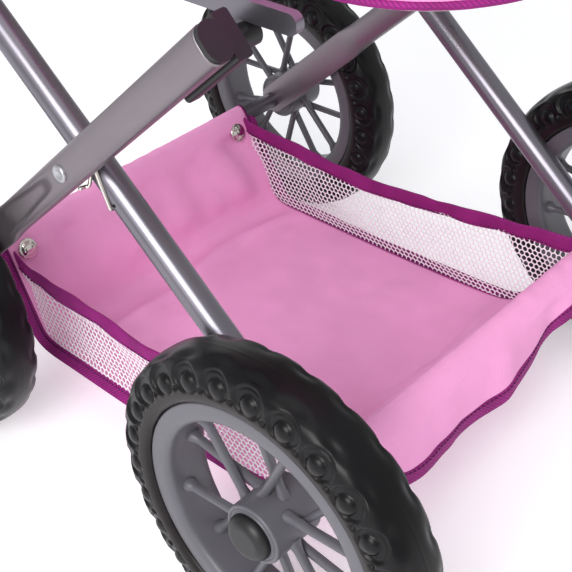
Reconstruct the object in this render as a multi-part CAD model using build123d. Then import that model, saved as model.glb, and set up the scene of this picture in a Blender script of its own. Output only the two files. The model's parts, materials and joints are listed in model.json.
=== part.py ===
from build123d import *
from math import asin, atan2, cos, degrees, hypot, radians, sin, sqrt, tan
import os

# Folding doll-size stroller: X frame of round and flat-oval tubes, four spoked wheels,
# a fabric basket between the cross tubes and a fabric carrycot with a hood on top.
# Millimetres. +X is forward, +Y is the left side, +Z is up.
# The origin is on the ground, midway between the axles and between the two sides.

# ---- wheels ----
WHEEL_RADIUS = 97.5
TYRE_DEPTH = 24.5
TYRE_WIDTH = 33.2
TYRE_SHOULDER = 9.0
RIM_DEPTH = 12.0
RIM_WIDTH = 27.0
HUB_RADIUS = 17.0
HUB_WIDTH = 32.0
SPOKE_RADIUS = 2.5
SPOKE_PAIRS = 6
SPOKE_HUB_ANGLE = 17.0
SPOKE_RIM_ANGLE = 15.0
CAP_RADIUS = 13.0
CAP_HEIGHT = 6.0
CAP_GAP = 0.3
WHEELBASE = 302.0
HUB_SIDE_GAP = 2.6

# ---- axles ----
AXLE_RADIUS = 4.0
RUNNING_CLEARANCE = 0.05
CROSS_TUBE_RADIUS = 6.0
CROSS_TUBE_WALL = 1.0
SPACER_RADIUS = 7.0
SPACER_GAP = 0.4

# ---- side tubes: the push tubes lean back from the front axle, the legs lean forward ----
TUBE_SLOPE = 41.2
PUSH_TUBE_RADIUS = 8.0
PUSH_TUBE_Y = 135.5
TUBE_WALL = 1.2
PUSH_TUBE_TAIL = 12.0
PUSH_TUBE_LENGTH = 640.0
LEG_HEIGHT = 19.0
LEG_THICKNESS = 14.0
LEG_GAP = 0.9
LEG_PLATE_HEIGHT = 22.0
LEG_PLATE_THICKNESS = 4.0
LEG_PLATE_MARGIN = 0.5
LEG_FLARE_LENGTH = 26.0
LEG_BEYOND_PEG = 16.2
PLUG_DEPTH = 14.0
PLUG_LIP = 3.0

# ---- crossing pivot ----
RIVET_RADIUS = 3.0
RIVET_HEAD_RADIUS = 5.5
RIVET_HEAD_HEIGHT = 2.4
WIRE_RADIUS = 1.1
WIRE_HOLE_DISTANCE = 27.8
WIRE_SIDE_GAP = 0.25
WIRE_EDGE_GAP = 0.8

# ---- basket ----
BASKET_WALL = 2.0
BASKET_NEST_GAP = 2.0
BASKET_OVERLAP = 2.0
BASKET_SIDE_ROOM = 8.5
BASKET_RISE = 0.5
BASKET_SLEEVE = 1.6
SNAP_RADIUS = 6.25
SNAP_HEIGHT = 3.0
SNAP_INSET = 18.0
SNAP_GAP = 0.3

# ---- carrycot seat on the frame ----
COT_RAIL_RISE = 100.3
COT_RAIL_HEIGHT = 10.0
COT_RAIL_THICKNESS = 5.0
COT_RAIL_SIDE_ROOM = 9.0
COT_RAIL_GAP = 0.5
COT_RAIL_BEYOND_PEG = 30.3
COT_PIN_RADIUS = 3.0
PEG_RADIUS = 6.0
PEG_GAP = 0.3
ADAPTER_HEIGHT = 23.0
ADAPTER_THICKNESS = 9.0
ADAPTER_BELOW_PEG = 29.8
BRACKET_RADIUS = 12.0
SLAT_RADIUS = 4.0
SLAT_X = 84.0

# ---- carrycot ----
COT_LENGTH = 424.0
COT_SIDE_ROOM = 16.5
COT_DEPTH = 130.0
COT_CORNER = 82.0
COT_TAPER = 9.0
COT_WALL = 3.0
COT_FLOOR = 4.0
COT_BOARD = 3.0
COT_BOARD_INSET = 14.0
RIM_TUBE_RADIUS = 3.5
MATTRESS_HEIGHT = 24.0
MATTRESS_GAP = 4.0

# ---- hood ----
HOOD_SET_IN = 120.0
HOOD_SIDE_ROOM = 8.0
HOOD_RADIUS = 148.0
HOOD_CORNER = 60.0
HOOD_SKIN = 1.6
HOOD_NEST_GAP = 2.0
HOOD_BOW_RADIUS = 2.5
HOOD_BOW_GAP = 0.1
HOOD_OVERLAP = 2.0
HOOD_PIN_RADIUS = 2.0
HOOD_SPLIT = 112.0
HOOD_FRONT = 52.0
HOOD_BACK = 176.0
KNOB_RADIUS = 10.0
KNOB_HEIGHT = 3.5

# ---- handle ----
HANDLE_HUB_RADIUS = 18.0
HANDLE_HUB_THICKNESS = 8.6
HANDLE_HUB_GAP = 0.4
HANDLE_NECK_RADIUS = 10.0
HANDLE_ARM_LENGTH = 118.0
HANDLE_BEND = 42.0
HANDLE_TUBE_RADIUS = 8.0
GRIP_RADIUS = 12.0
GRIP_LENGTH = 168.0
BUTTON_RADIUS = 7.0
BUTTON_STAND = 3.0
BUTTON_POCKET = 5.0
BUTTON_TRAVEL_ROOM = 3.0
HANDLE_PIN_RADIUS = 3.0

# ---- places worked out from the sizes above ----
SLOPE = radians(TUBE_SLOPE)
TYRE_INNER_RADIUS = WHEEL_RADIUS - TYRE_DEPTH
RIM_INNER_RADIUS = TYRE_INNER_RADIUS - RIM_DEPTH
AXLE_X = WHEELBASE / 2
AXLE_Z = WHEEL_RADIUS
PIVOT_Z = AXLE_Z + AXLE_X * tan(SLOPE)
FOLD_RADIUS = AXLE_X / cos(SLOPE)
CROSSING = FOLD_RADIUS
TUBE_INNER_Y = PUSH_TUBE_Y - PUSH_TUBE_RADIUS
LEG_Y = PUSH_TUBE_Y + PUSH_TUBE_RADIUS + LEG_GAP + LEG_THICKNESS / 2
LEG_PLATE_LENGTH = WHEEL_RADIUS + LEG_PLATE_MARGIN
HALF_TRACK = LEG_Y + LEG_PLATE_THICKNESS / 2 + HUB_SIDE_GAP + HUB_WIDTH / 2
LEG_OUTER_Y = LEG_Y + LEG_THICKNESS / 2
LEG_INNER_Y = LEG_Y - LEG_THICKNESS / 2
HUB_INNER_Y = HALF_TRACK - HUB_WIDTH / 2
HUB_OUTER_Y = HALF_TRACK + HUB_WIDTH / 2
BASKET_TOP = AXLE_Z + BASKET_RISE
BASKET_HALF_WIDTH = TUBE_INNER_Y - BASKET_SIDE_ROOM
SNAP_Y = BASKET_HALF_WIDTH - SNAP_INSET
COT_RAIL_Z = PIVOT_Z + COT_RAIL_RISE
COT_RAIL_Y = TUBE_INNER_Y - COT_RAIL_SIDE_ROOM
PEG_DROP = COT_RAIL_HEIGHT / 2 + PEG_RADIUS + PEG_GAP
COT_PIVOT_S = (COT_RAIL_Z - AXLE_Z) / sin(SLOPE)
COT_PIVOT_X = AXLE_X - COT_PIVOT_S * cos(SLOPE)
PEG_S = (COT_RAIL_Z - PEG_DROP - AXLE_Z) / sin(SLOPE)
PEG_X = PEG_S * cos(SLOPE) - AXLE_X
LEG_LENGTH = PEG_S + LEG_BEYOND_PEG
ADAPTER_START = PEG_S - ADAPTER_BELOW_PEG
COT_RAIL_FRONT = PEG_X + COT_RAIL_BEYOND_PEG
COT_WIDTH = 2 * (TUBE_INNER_Y - COT_SIDE_ROOM)
COT_BASE_Z = COT_RAIL_Z + SLAT_RADIUS + COT_BOARD
COT_RIM_Z = COT_BASE_Z + COT_DEPTH
HOOD_X = HOOD_SET_IN - COT_LENGTH / 2
HOOD_Z = COT_RIM_Z + RIM_TUBE_RADIUS
HOOD_HALF_WIDTH = TUBE_INNER_Y - HOOD_SIDE_ROOM
HANDLE_S = PUSH_TUBE_LENGTH + HANDLE_HUB_RADIUS
HUB_INSIDE_Y = PUSH_TUBE_Y - HANDLE_HUB_GAP / 2 - HANDLE_HUB_THICKNESS
HUB_OUTSIDE_Y = PUSH_TUBE_Y + HANDLE_HUB_GAP / 2 + HANDLE_HUB_THICKNESS
AXLE_END_Y = HUB_OUTER_Y + CAP_HEIGHT / 2
CAP_Y = HUB_OUTER_Y + CAP_GAP
TUBE_ANGLE = degrees(atan2(AXLE_X, PIVOT_Z - AXLE_Z))
SNAP_ANGLE = TUBE_ANGLE - degrees(
    (CROSS_TUBE_RADIUS + BASKET_SLEEVE + SNAP_RADIUS + SNAP_GAP) / FOLD_RADIUS)
TUBE_SHARE = degrees(asin((CROSS_TUBE_RADIUS + BASKET_SLEEVE / 2) / FOLD_RADIUS))

SIDES = {"left": 1, "right": -1}
DOME_SHARE = 0.9
BAR_ROUNDING = 0.45
CENTRE_MIN = (Align.CENTER, Align.CENTER, Align.MIN)


def push_point(s, y):
    """A point s along a push tube's axis from the front axle."""
    return Vector(AXLE_X - s * cos(SLOPE), y, AXLE_Z + s * sin(SLOPE))


def leg_point(s, y, off=0.0):
    """A point s along a leg's axis from the rear axle, and off above the axis."""
    x = -AXLE_X + s * cos(SLOPE) - off * sin(SLOPE)
    return Vector(x, y, AXLE_Z + s * sin(SLOPE) + off * cos(SLOPE))


def rod(start, end, radius):
    """A round rod between two points."""
    start = Vector(start)
    run = Vector(end) - start
    return Plane(origin=start, z_dir=run) * Cylinder(radius, run.length, align=CENTRE_MIN)


def pipe(start, end, radius, wall):
    """A round tube between two points."""
    return rod(start, end, radius) - rod(start, end, radius - wall)


def cross_rod(x, z, y_start, y_end, radius):
    """A round rod along Y."""
    return rod((x, y_start, z), (x, y_end, z), radius)


def domed_head(x, z, y, outward, radius, height):
    """A low domed rivet or cap head that stands on the plane y and faces outward."""
    plane = Plane(origin=(x, y, z), z_dir=(0, outward, 0))
    head = Cylinder(radius, height, align=CENTRE_MIN)
    return plane * fillet(head.edges().group_by(Axis.Z)[-1], height * DOME_SHARE)


def leg_plane(s, y):
    """A plane across a leg, its local X along Y and its local Y up the leg's side."""
    return Plane(origin=leg_point(s, y), x_dir=(0, 1, 0), z_dir=(cos(SLOPE), 0, sin(SLOPE)))


def oval(s, y, height, thickness):
    """The flat-oval section of a leg at s."""
    return leg_plane(s, y) * SlotOverall(height, thickness, rotation=90)


# ---------------------------------------------------------------- wheels
def tyre(x, y):
    half = TYRE_WIDTH / 2
    profile = Rectangle(WHEEL_RADIUS - TYRE_INNER_RADIUS, TYRE_WIDTH, align=(Align.MIN, Align.CENTER))
    profile = Pos(TYRE_INNER_RADIUS, 0) * profile
    profile = fillet(profile.vertices().group_by(Axis.X)[-1], min(TYRE_SHOULDER, half * 0.9))
    return wheel_place(x, y) * revolve(Plane.XZ * profile, Axis.Z)


def wheel_place(x, y):
    """A wheel is drawn about local Z, which lies along Y on the stroller."""
    return Pos(x, y, AXLE_Z) * Rot(-90, 0, 0)


def polar(radius, angle):
    return Vector(radius * cos(radians(angle)), radius * sin(radians(angle)), 0)


def rim(x, y):
    body = Cylinder(TYRE_INNER_RADIUS, RIM_WIDTH) - Cylinder(RIM_INNER_RADIUS, RIM_WIDTH)
    body += Cylinder(HUB_RADIUS, HUB_WIDTH)
    pitch = 360 / SPOKE_PAIRS
    ring_middle = (RIM_INNER_RADIUS + TYRE_INNER_RADIUS) / 2
    for pair in range(SPOKE_PAIRS):
        for lean in (-1, 1):
            lift = Vector(0, 0, lean * SPOKE_RADIUS * 1.1)
            start = polar(HUB_RADIUS - 2, pair * pitch + lean * SPOKE_HUB_ANGLE) + lift
            end = polar(ring_middle, pair * pitch - lean * SPOKE_RIM_ANGLE) + lift
            body += rod(start, end, SPOKE_RADIUS)
    body -= Cylinder(AXLE_RADIUS + RUNNING_CLEARANCE, HUB_WIDTH * 2)
    return wheel_place(x, y) * body


def hub_cap(x, side):
    """A push-on cap that holds the wheel on the axle's end."""
    cap = domed_head(x, AXLE_Z, side * CAP_Y, side, CAP_RADIUS, CAP_HEIGHT)
    return cap - cross_rod(x, AXLE_Z, 0, side * AXLE_END_Y, AXLE_RADIUS)


def axle(x):
    """A plain rod whose ends sit in the hub caps' blind holes."""
    return cross_rod(x, AXLE_Z, -AXLE_END_Y, AXLE_END_Y, AXLE_RADIUS)


def cross_tube(x, half_length):
    """The silver tube round the axle rod between the two sides."""
    outer = cross_rod(x, AXLE_Z, -half_length, half_length, CROSS_TUBE_RADIUS)
    return outer - cross_rod(x, AXLE_Z, -half_length, half_length, CROSS_TUBE_RADIUS - CROSS_TUBE_WALL)


def spacers(x, inner_y):
    """Two sleeves on the axle between the side tube and the wheel hub, as one node."""
    outer_y = HUB_INNER_Y - SPACER_GAP
    pair = []
    for side in SIDES.values():
        sleeve = cross_rod(x, AXLE_Z, side * inner_y, side * outer_y, SPACER_RADIUS)
        pair.append(sleeve - cross_rod(x, AXLE_Z, side * inner_y, side * outer_y, AXLE_RADIUS))
    return Compound(pair)


# ---------------------------------------------------------------- side tubes
def through_y(point, radius):
    """A cutter along Y through both walls of one side's tubes."""
    reach = LEG_OUTER_Y + LEG_THICKNESS
    side = 1 if point.Y > 0 else -1
    return cross_rod(point.X, point.Z, 0, side * reach, radius)


def push_tube(side):
    y = side * PUSH_TUBE_Y
    tube = pipe(push_point(-PUSH_TUBE_TAIL, y), push_point(PUSH_TUBE_LENGTH, y), PUSH_TUBE_RADIUS, TUBE_WALL)
    tube -= through_y(push_point(0, y), AXLE_RADIUS)
    tube -= through_y(push_point(CROSSING, y), RIVET_RADIUS)
    tube -= through_y(push_point(COT_PIVOT_S, y), COT_PIN_RADIUS)
    hole = push_point(CROSSING - WIRE_HOLE_DISTANCE, y)
    outer_hole = cross_rod(hole.X, hole.Z, y, side * LEG_Y, WIRE_RADIUS + RUNNING_CLEARANCE)
    return tube - outer_hole


def leg_tube(side):
    y = side * LEG_Y
    full = extrude(oval(LEG_PLATE_LENGTH + LEG_FLARE_LENGTH, y, LEG_HEIGHT, LEG_THICKNESS),
                   LEG_LENGTH - LEG_PLATE_LENGTH - LEG_FLARE_LENGTH)
    hollow = extrude(oval(LEG_PLATE_LENGTH + LEG_FLARE_LENGTH, y,
                          LEG_HEIGHT - 2 * TUBE_WALL, LEG_THICKNESS - 2 * TUBE_WALL),
                     LEG_LENGTH - LEG_PLATE_LENGTH - LEG_FLARE_LENGTH)
    flare = loft([oval(LEG_PLATE_LENGTH, y, LEG_PLATE_HEIGHT, LEG_PLATE_THICKNESS),
                  oval(LEG_PLATE_LENGTH + LEG_FLARE_LENGTH, y, LEG_HEIGHT, LEG_THICKNESS)])
    plate = extrude(oval(0, y, LEG_PLATE_HEIGHT, LEG_PLATE_THICKNESS), LEG_PLATE_LENGTH)
    end = cross_rod(-AXLE_X, AXLE_Z, y - LEG_PLATE_THICKNESS / 2, y + LEG_PLATE_THICKNESS / 2,
                    LEG_PLATE_HEIGHT / 2)
    body = full - hollow + flare + plate + end
    body -= through_y(leg_point(0, y), AXLE_RADIUS)
    body -= through_y(leg_point(CROSSING, y), RIVET_RADIUS + RUNNING_CLEARANCE)
    return body


def push_tube_plugs():
    """Push-in plugs that close the push tubes' lower ends."""
    plugs = []
    for side in SIDES.values():
        y = side * PUSH_TUBE_Y
        mouth = -PUSH_TUBE_TAIL
        stem = rod(push_point(mouth + PLUG_DEPTH / 3, y), push_point(mouth, y), PUSH_TUBE_RADIUS - TUBE_WALL)
        stem += rod(push_point(mouth, y), push_point(mouth - PLUG_LIP, y), PUSH_TUBE_RADIUS)
        plugs.append(stem)
    return Compound(plugs)


def leg_plugs():
    """Push-in plugs that close the legs' upper ends."""
    plugs = []
    for side in SIDES.values():
        y = side * LEG_Y
        inner = oval(LEG_LENGTH - PLUG_DEPTH, y, LEG_HEIGHT - 2 * TUBE_WALL, LEG_THICKNESS - 2 * TUBE_WALL)
        lip = extrude(oval(LEG_LENGTH, y, LEG_HEIGHT, LEG_THICKNESS), PLUG_LIP)
        plugs.append(extrude(inner, PLUG_DEPTH) + lip)
    return Compound(plugs)


def pivot_rivets():
    """The rivets that pin each leg to its push tube where they cross."""
    rivets = []
    for side in SIDES.values():
        inner = side * (PUSH_TUBE_Y - PUSH_TUBE_RADIUS)
        outer = side * (LEG_OUTER_Y + RUNNING_CLEARANCE)
        shank = cross_rod(0, PIVOT_Z, inner, outer, RIVET_RADIUS)
        shank += domed_head(0, PIVOT_Z, outer, side, RIVET_HEAD_RADIUS, RIVET_HEAD_HEIGHT)
        rivets.append(shank + domed_head(0, PIVOT_Z, inner, -side, RIVET_HEAD_RADIUS, RIVET_HEAD_HEIGHT))
    return Compound(rivets)


def pivot_springs():
    """Wire springs: one end in a hole in the push tube, the other hooked under the leg."""
    springs = []
    for side in SIDES.values():
        hole = push_point(CROSSING - WIRE_HOLE_DISTANCE, 0)
        outside = side * (PUSH_TUBE_Y + PUSH_TUBE_RADIUS + WIRE_RADIUS + WIRE_SIDE_GAP)
        edge = -(LEG_HEIGHT / 2 + WIRE_RADIUS + WIRE_EDGE_GAP)
        corner = leg_point(CROSSING + LEG_HEIGHT * 0.65, outside, edge)
        hook = leg_point(CROSSING - LEG_HEIGHT * 0.65, outside, edge)
        points = [Vector(hole.X, side * (PUSH_TUBE_Y + PUSH_TUBE_RADIUS - TUBE_WALL), hole.Z),
                  Vector(hole.X, outside, hole.Z), corner, hook,
                  Vector(hook.X, side * LEG_Y, hook.Z)]
        path = FilletPolyline(points, radius=WIRE_RADIUS * 1.4)
        springs.append(sweep(Plane(origin=path @ 0, z_dir=path % 0) * Circle(WIRE_RADIUS), path))
    return Compound(springs)


# ---------------------------------------------------------------- basket
def fold_arc(radius, angle):
    """A point round the crossing pivot; angle 0 is straight down and 90 is forward."""
    return (radius * sin(radians(angle)), PIVOT_Z - radius * cos(radians(angle)))


def fold_band(outer, inner, start, end):
    """A sector of a ring about the crossing pivot, in the XZ plane."""
    middle = (start + end) / 2
    with BuildSketch(Plane.XZ) as sketch:
        with BuildLine():
            first = ThreePointArc(fold_arc(outer, start), fold_arc(outer, middle), fold_arc(outer, end))
            last = ThreePointArc(fold_arc(inner, end), fold_arc(inner, middle), fold_arc(inner, start))
            Line(first @ 1, last @ 0)
            Line(last @ 1, first @ 0)
        make_face()
    return sketch.sketch


def basket_half(start, end, half_width, radius, tube_x):
    """Half of the basket as a nesting shell: an arc floor, two side walls and a tube sleeve.

    The half turns with its side of the fold, so its floor is an arc about the pivot."""
    floor = extrude(fold_band(radius, radius - BASKET_WALL, start, end), half_width, both=True)
    wall_band = extrude(fold_band(radius, PIVOT_Z - BASKET_TOP, start, end), half_width, both=True)
    hollow = Box(4 * AXLE_X, 2 * (half_width - BASKET_WALL), 4 * PIVOT_Z)
    above = Pos(0, 0, BASKET_TOP) * Box(4 * AXLE_X, 4 * half_width, 2 * PIVOT_Z, align=CENTRE_MIN)
    sleeve = cross_rod(tube_x, AXLE_Z, -half_width, half_width, CROSS_TUBE_RADIUS + BASKET_SLEEVE)
    sleeve -= cross_rod(tube_x, AXLE_Z, -half_width, half_width, CROSS_TUBE_RADIUS)
    return floor + (wall_band - hollow - above) + sleeve


def basket_front():
    half_width = BASKET_HALF_WIDTH - BASKET_WALL - BASKET_NEST_GAP
    return basket_half(-BASKET_OVERLAP, TUBE_ANGLE - TUBE_SHARE, half_width,
                       FOLD_RADIUS - BASKET_NEST_GAP, AXLE_X)


def basket_rear():
    return basket_half(TUBE_SHARE - TUBE_ANGLE, BASKET_OVERLAP, BASKET_HALF_WIDTH,
                       FOLD_RADIUS + BASKET_WALL, -AXLE_X)


def basket_snaps():
    """Two domed press studs that close the rear panel round the rear cross tube."""
    studs = []
    sagitta = FOLD_RADIUS - sqrt(FOLD_RADIUS ** 2 - SNAP_RADIUS ** 2)
    x, z = fold_arc(FOLD_RADIUS - sagitta - SNAP_GAP, -SNAP_ANGLE)
    for side in SIDES.values():
        plane = Plane(origin=(x, side * SNAP_Y, z), z_dir=(-x, 0, PIVOT_Z - z))
        stud = Cylinder(SNAP_RADIUS, SNAP_HEIGHT, align=CENTRE_MIN)
        studs.append(plane * fillet(stud.edges().group_by(Axis.Z)[-1], SNAP_HEIGHT * DOME_SHARE))
    return Compound(studs)


# ---------------------------------------------------------------- carrycot seat
def cot_adapter(side):
    """Black block on the leg's inner face, with the peg that the cot's rail rests on."""
    inner = LEG_INNER_Y - ADAPTER_THICKNESS
    section = leg_plane(ADAPTER_START, side * (inner + ADAPTER_THICKNESS / 2))
    length = LEG_LENGTH - ADAPTER_START
    block = section * extrude(RectangleRounded(ADAPTER_THICKNESS, ADAPTER_HEIGHT, 2), length)
    peg = leg_point(PEG_S, 0)
    peg_end = side * (COT_RAIL_Y - COT_RAIL_THICKNESS / 2)
    return block + cross_rod(peg.X, peg.Z, side * (inner + 1), peg_end, PEG_RADIUS)


def cot_bracket(side):
    """Black washer-like bracket on the push tube's inner face, with the cot's pivot pin."""
    rail_face = COT_RAIL_Y + COT_RAIL_THICKNESS / 2 + COT_RAIL_GAP
    disc = cross_rod(COT_PIVOT_X, COT_RAIL_Z, side * rail_face, side * TUBE_INNER_Y, BRACKET_RADIUS)
    pin = cross_rod(COT_PIVOT_X, COT_RAIL_Z, side * (COT_RAIL_Y - COT_RAIL_THICKNESS),
                    side * (PUSH_TUBE_Y + PUSH_TUBE_RADIUS), COT_PIN_RADIUS)
    outer = domed_head(COT_PIVOT_X, COT_RAIL_Z, side * (PUSH_TUBE_Y + PUSH_TUBE_RADIUS), side,
                       RIVET_HEAD_RADIUS, RIVET_HEAD_HEIGHT)
    return disc + pin + outer


def cot_rail(side):
    """Flat bar under one side of the carrycot, from its pivot to past the front peg."""
    back = COT_PIVOT_X - COT_RAIL_HEIGHT
    from_back = (Align.MIN, Align.CENTER, Align.CENTER)
    bar = Box(COT_RAIL_FRONT - back, COT_RAIL_THICKNESS, COT_RAIL_HEIGHT, align=from_back)
    bar = Pos(back, side * COT_RAIL_Y, COT_RAIL_Z) * bar
    bar = fillet(bar.edges().filter_by(Axis.Y), COT_RAIL_HEIGHT * BAR_ROUNDING)
    return bar - through_y(Vector(COT_PIVOT_X, side, COT_RAIL_Z), COT_PIN_RADIUS + RUNNING_CLEARANCE)


def cot_slats():
    """Two cross tubes that join the rails under the cot's floor."""
    reach = COT_RAIL_Y - COT_RAIL_THICKNESS / 2
    return Compound([cross_rod(x, COT_RAIL_Z, -reach, reach, SLAT_RADIUS) for x in (-SLAT_X, SLAT_X)])


# ---------------------------------------------------------------- carrycot
def cot_outline(inset):
    """The carrycot's plan outline, drawn in by inset."""
    corner = max(COT_CORNER - inset, 1)
    return RectangleRounded(COT_LENGTH - 2 * inset, COT_WIDTH - 2 * inset, corner)


def cot_shell():
    outside = loft([Pos(0, 0, COT_BASE_Z) * cot_outline(COT_TAPER), Pos(0, 0, COT_RIM_Z) * cot_outline(0)])
    inside = loft([Pos(0, 0, COT_BASE_Z + COT_FLOOR) * cot_outline(COT_TAPER + COT_WALL),
                   Pos(0, 0, COT_RIM_Z) * cot_outline(COT_WALL)])
    return outside - inside


def cot_rim():
    """The tube loop that holds the cot's rim open, on top of the fabric wall."""
    inset = RIM_TUBE_RADIUS
    z = COT_RIM_Z + RIM_TUBE_RADIUS
    path = Pos(0, 0, z) * cot_outline(inset).wire()
    return sweep(Plane(origin=path @ 0, z_dir=path % 0) * Circle(RIM_TUBE_RADIUS), path)


def cot_board():
    """Stiff board under the fabric floor, on the slats."""
    return extrude(Pos(0, 0, COT_BASE_Z - COT_BOARD) * cot_outline(COT_BOARD_INSET), COT_BOARD)


def mattress():
    """Padded mattress on the cot's floor."""
    inset = COT_TAPER + COT_WALL + MATTRESS_GAP
    pad = extrude(Pos(0, 0, COT_BASE_Z + COT_FLOOR) * cot_outline(inset), MATTRESS_HEIGHT)
    return fillet(pad.edges().filter_by(Plane.XY), MATTRESS_HEIGHT * 0.4)


# ---------------------------------------------------------------- hood
def hood_turn(angle):
    """From a drawing about local Y to the hood's axis; 0 points forward and 90 up."""
    return Pos(HOOD_X, 0, HOOD_Z) * Rot(0, -angle, 0)


def hood_wedge(start, end, half_width, radius):
    """A solid wedge about the hood's axis with rounded outer corners."""
    outline = RectangleRounded(2 * radius, 2 * half_width, HOOD_CORNER)
    half = outline & Rectangle(2 * radius, 4 * half_width, align=(Align.MIN, Align.CENTER))
    return hood_turn(start) * revolve(half, Axis((0, 0, 0), (0, -1, 0)), end - start)


def hood_shell(start, end, half_width, radius):
    """A thin skin between two angles, open at both, with holes for its pivot pins."""
    skin = hood_wedge(start, end, half_width, radius)
    skin -= hood_wedge(start - 1, end + 1, half_width - HOOD_SKIN, radius - HOOD_SKIN)
    pin_hole = HOOD_PIN_RADIUS + RUNNING_CLEARANCE
    return skin - cross_rod(HOOD_X, HOOD_Z, -2 * half_width, 2 * half_width, pin_hole)


def hood_bow(angle, half_width, radius, ahead):
    """A round wire bow across the hood at an angle, set ahead of that plane."""
    foot = 3 * HOOD_PIN_RADIUS
    corners = [(foot, -half_width), (radius, -half_width), (radius, half_width), (foot, half_width)]
    path = FilletPolyline([Vector(x, y, -ahead) for x, y in corners], radius=HOOD_CORNER)
    return hood_turn(angle) * sweep(Plane(origin=path @ 0, z_dir=path % 0) * Circle(HOOD_BOW_RADIUS), path)


def hood_front():
    return hood_shell(HOOD_FRONT, HOOD_SPLIT, HOOD_HALF_WIDTH, HOOD_RADIUS)


def hood_rear():
    nest = HOOD_SKIN + HOOD_NEST_GAP
    return hood_shell(HOOD_SPLIT - HOOD_OVERLAP, HOOD_BACK, HOOD_HALF_WIDTH - nest, HOOD_RADIUS - nest)


def hood_front_bow():
    middle = HOOD_SKIN / 2
    ahead = HOOD_BOW_RADIUS + HOOD_BOW_GAP
    return hood_bow(HOOD_FRONT, HOOD_HALF_WIDTH - middle, HOOD_RADIUS - middle, ahead)


def hood_rear_bow():
    inset = 2 * HOOD_SKIN + HOOD_NEST_GAP + HOOD_BOW_RADIUS + HOOD_BOW_GAP
    return hood_bow(HOOD_SPLIT, HOOD_HALF_WIDTH - inset, HOOD_RADIUS - inset, 0)


def hood_pivots():
    """Pins from the cot's rim tube through both hood skins, with a knob outside."""
    pins = []
    for side in SIDES.values():
        foot = side * (COT_WIDTH / 2 + RUNNING_CLEARANCE)
        knob_y = side * (HOOD_HALF_WIDTH + HOOD_BOW_RADIUS)
        pin = cross_rod(HOOD_X, HOOD_Z, foot, knob_y, HOOD_PIN_RADIUS)
        pins.append(pin + domed_head(HOOD_X, HOOD_Z, knob_y, side, KNOB_RADIUS, KNOB_HEIGHT))
    return Compound(pins)


# ---------------------------------------------------------------- handle
def handle_hub(side, direction):
    """One disc of the handle joint: -1 is the inner one on the push tube, 1 the outer one."""
    joint = push_point(HANDLE_S, 0)
    y = side * PUSH_TUBE_Y
    face = PUSH_TUBE_Y + direction * HANDLE_HUB_GAP / 2
    back = face + direction * HANDLE_HUB_THICKNESS
    beyond = PUSH_TUBE_Y - direction * 2 * HANDLE_NECK_RADIUS
    mouth = push_point(HANDLE_S + direction * (HANDLE_HUB_RADIUS + 2 * HANDLE_NECK_RADIUS), y)
    neck = rod(push_point(HANDLE_S + direction * HANDLE_NECK_RADIUS, y), mouth, HANDLE_NECK_RADIUS)
    neck -= cross_rod(joint.X, joint.Z, side * face, side * beyond, HANDLE_HUB_RADIUS + HANDLE_HUB_GAP)
    hub = cross_rod(joint.X, joint.Z, side * face, side * back, HANDLE_HUB_RADIUS) + neck
    hub -= rod(push_point(HANDLE_S + direction * HANDLE_HUB_RADIUS, y), mouth, PUSH_TUBE_RADIUS)
    if direction < 0:
        return hub - cross_rod(joint.X, joint.Z, side * face, side * back, HANDLE_PIN_RADIUS)
    hub -= cross_rod(joint.X, joint.Z, side * face, side * back, HANDLE_PIN_RADIUS + RUNNING_CLEARANCE)
    floor = back - BUTTON_POCKET
    return hub - cross_rod(joint.X, joint.Z, side * floor, side * back, BUTTON_RADIUS + RUNNING_CLEARANCE)


def handle_pins():
    """The pins that the outer discs turn on, fixed in the inner discs."""
    joint = push_point(HANDLE_S, 0)
    start, end = HUB_INSIDE_Y, HUB_OUTSIDE_Y - BUTTON_POCKET - RUNNING_CLEARANCE
    return Compound([cross_rod(joint.X, joint.Z, side * start, side * end, HANDLE_PIN_RADIUS)
                     for side in SIDES.values()])


def handle_button(side):
    """Round press button in the outer disc's pocket."""
    joint = push_point(HANDLE_S, 0)
    inner = HUB_OUTSIDE_Y - BUTTON_POCKET + BUTTON_TRAVEL_ROOM
    outer = HUB_OUTSIDE_Y + BUTTON_STAND
    button = Cylinder(BUTTON_RADIUS, outer - inner, align=CENTRE_MIN)
    button = fillet(button.edges().group_by(Axis.Z)[-1], BUTTON_STAND / 2)
    return Plane(origin=(joint.X, side * inner, joint.Z), z_dir=(0, side, 0)) * button


def handle_bar():
    """The bent tube that the hands hold, between the two outer discs."""
    start = HANDLE_S + HANDLE_HUB_RADIUS
    end = HANDLE_S + HANDLE_ARM_LENGTH
    corners = [push_point(start, PUSH_TUBE_Y), push_point(end, PUSH_TUBE_Y),
               push_point(end, -PUSH_TUBE_Y), push_point(start, -PUSH_TUBE_Y)]
    path = FilletPolyline(corners, radius=HANDLE_BEND)
    ring = Circle(HANDLE_TUBE_RADIUS) - Circle(HANDLE_TUBE_RADIUS - TUBE_WALL)
    return sweep(Plane(origin=path @ 0, z_dir=path % 0) * ring, path)


def handle_grip():
    """Foam sleeve on the middle of the handle bar."""
    bar = push_point(HANDLE_S + HANDLE_ARM_LENGTH, 0)
    half = GRIP_LENGTH / 2
    sleeve = cross_rod(bar.X, bar.Z, -half, half, GRIP_RADIUS)
    sleeve = fillet(sleeve.edges(), (GRIP_RADIUS - HANDLE_TUBE_RADIUS) * 0.7)
    return sleeve - cross_rod(bar.X, bar.Z, -half, half, HANDLE_TUBE_RADIUS)


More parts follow.
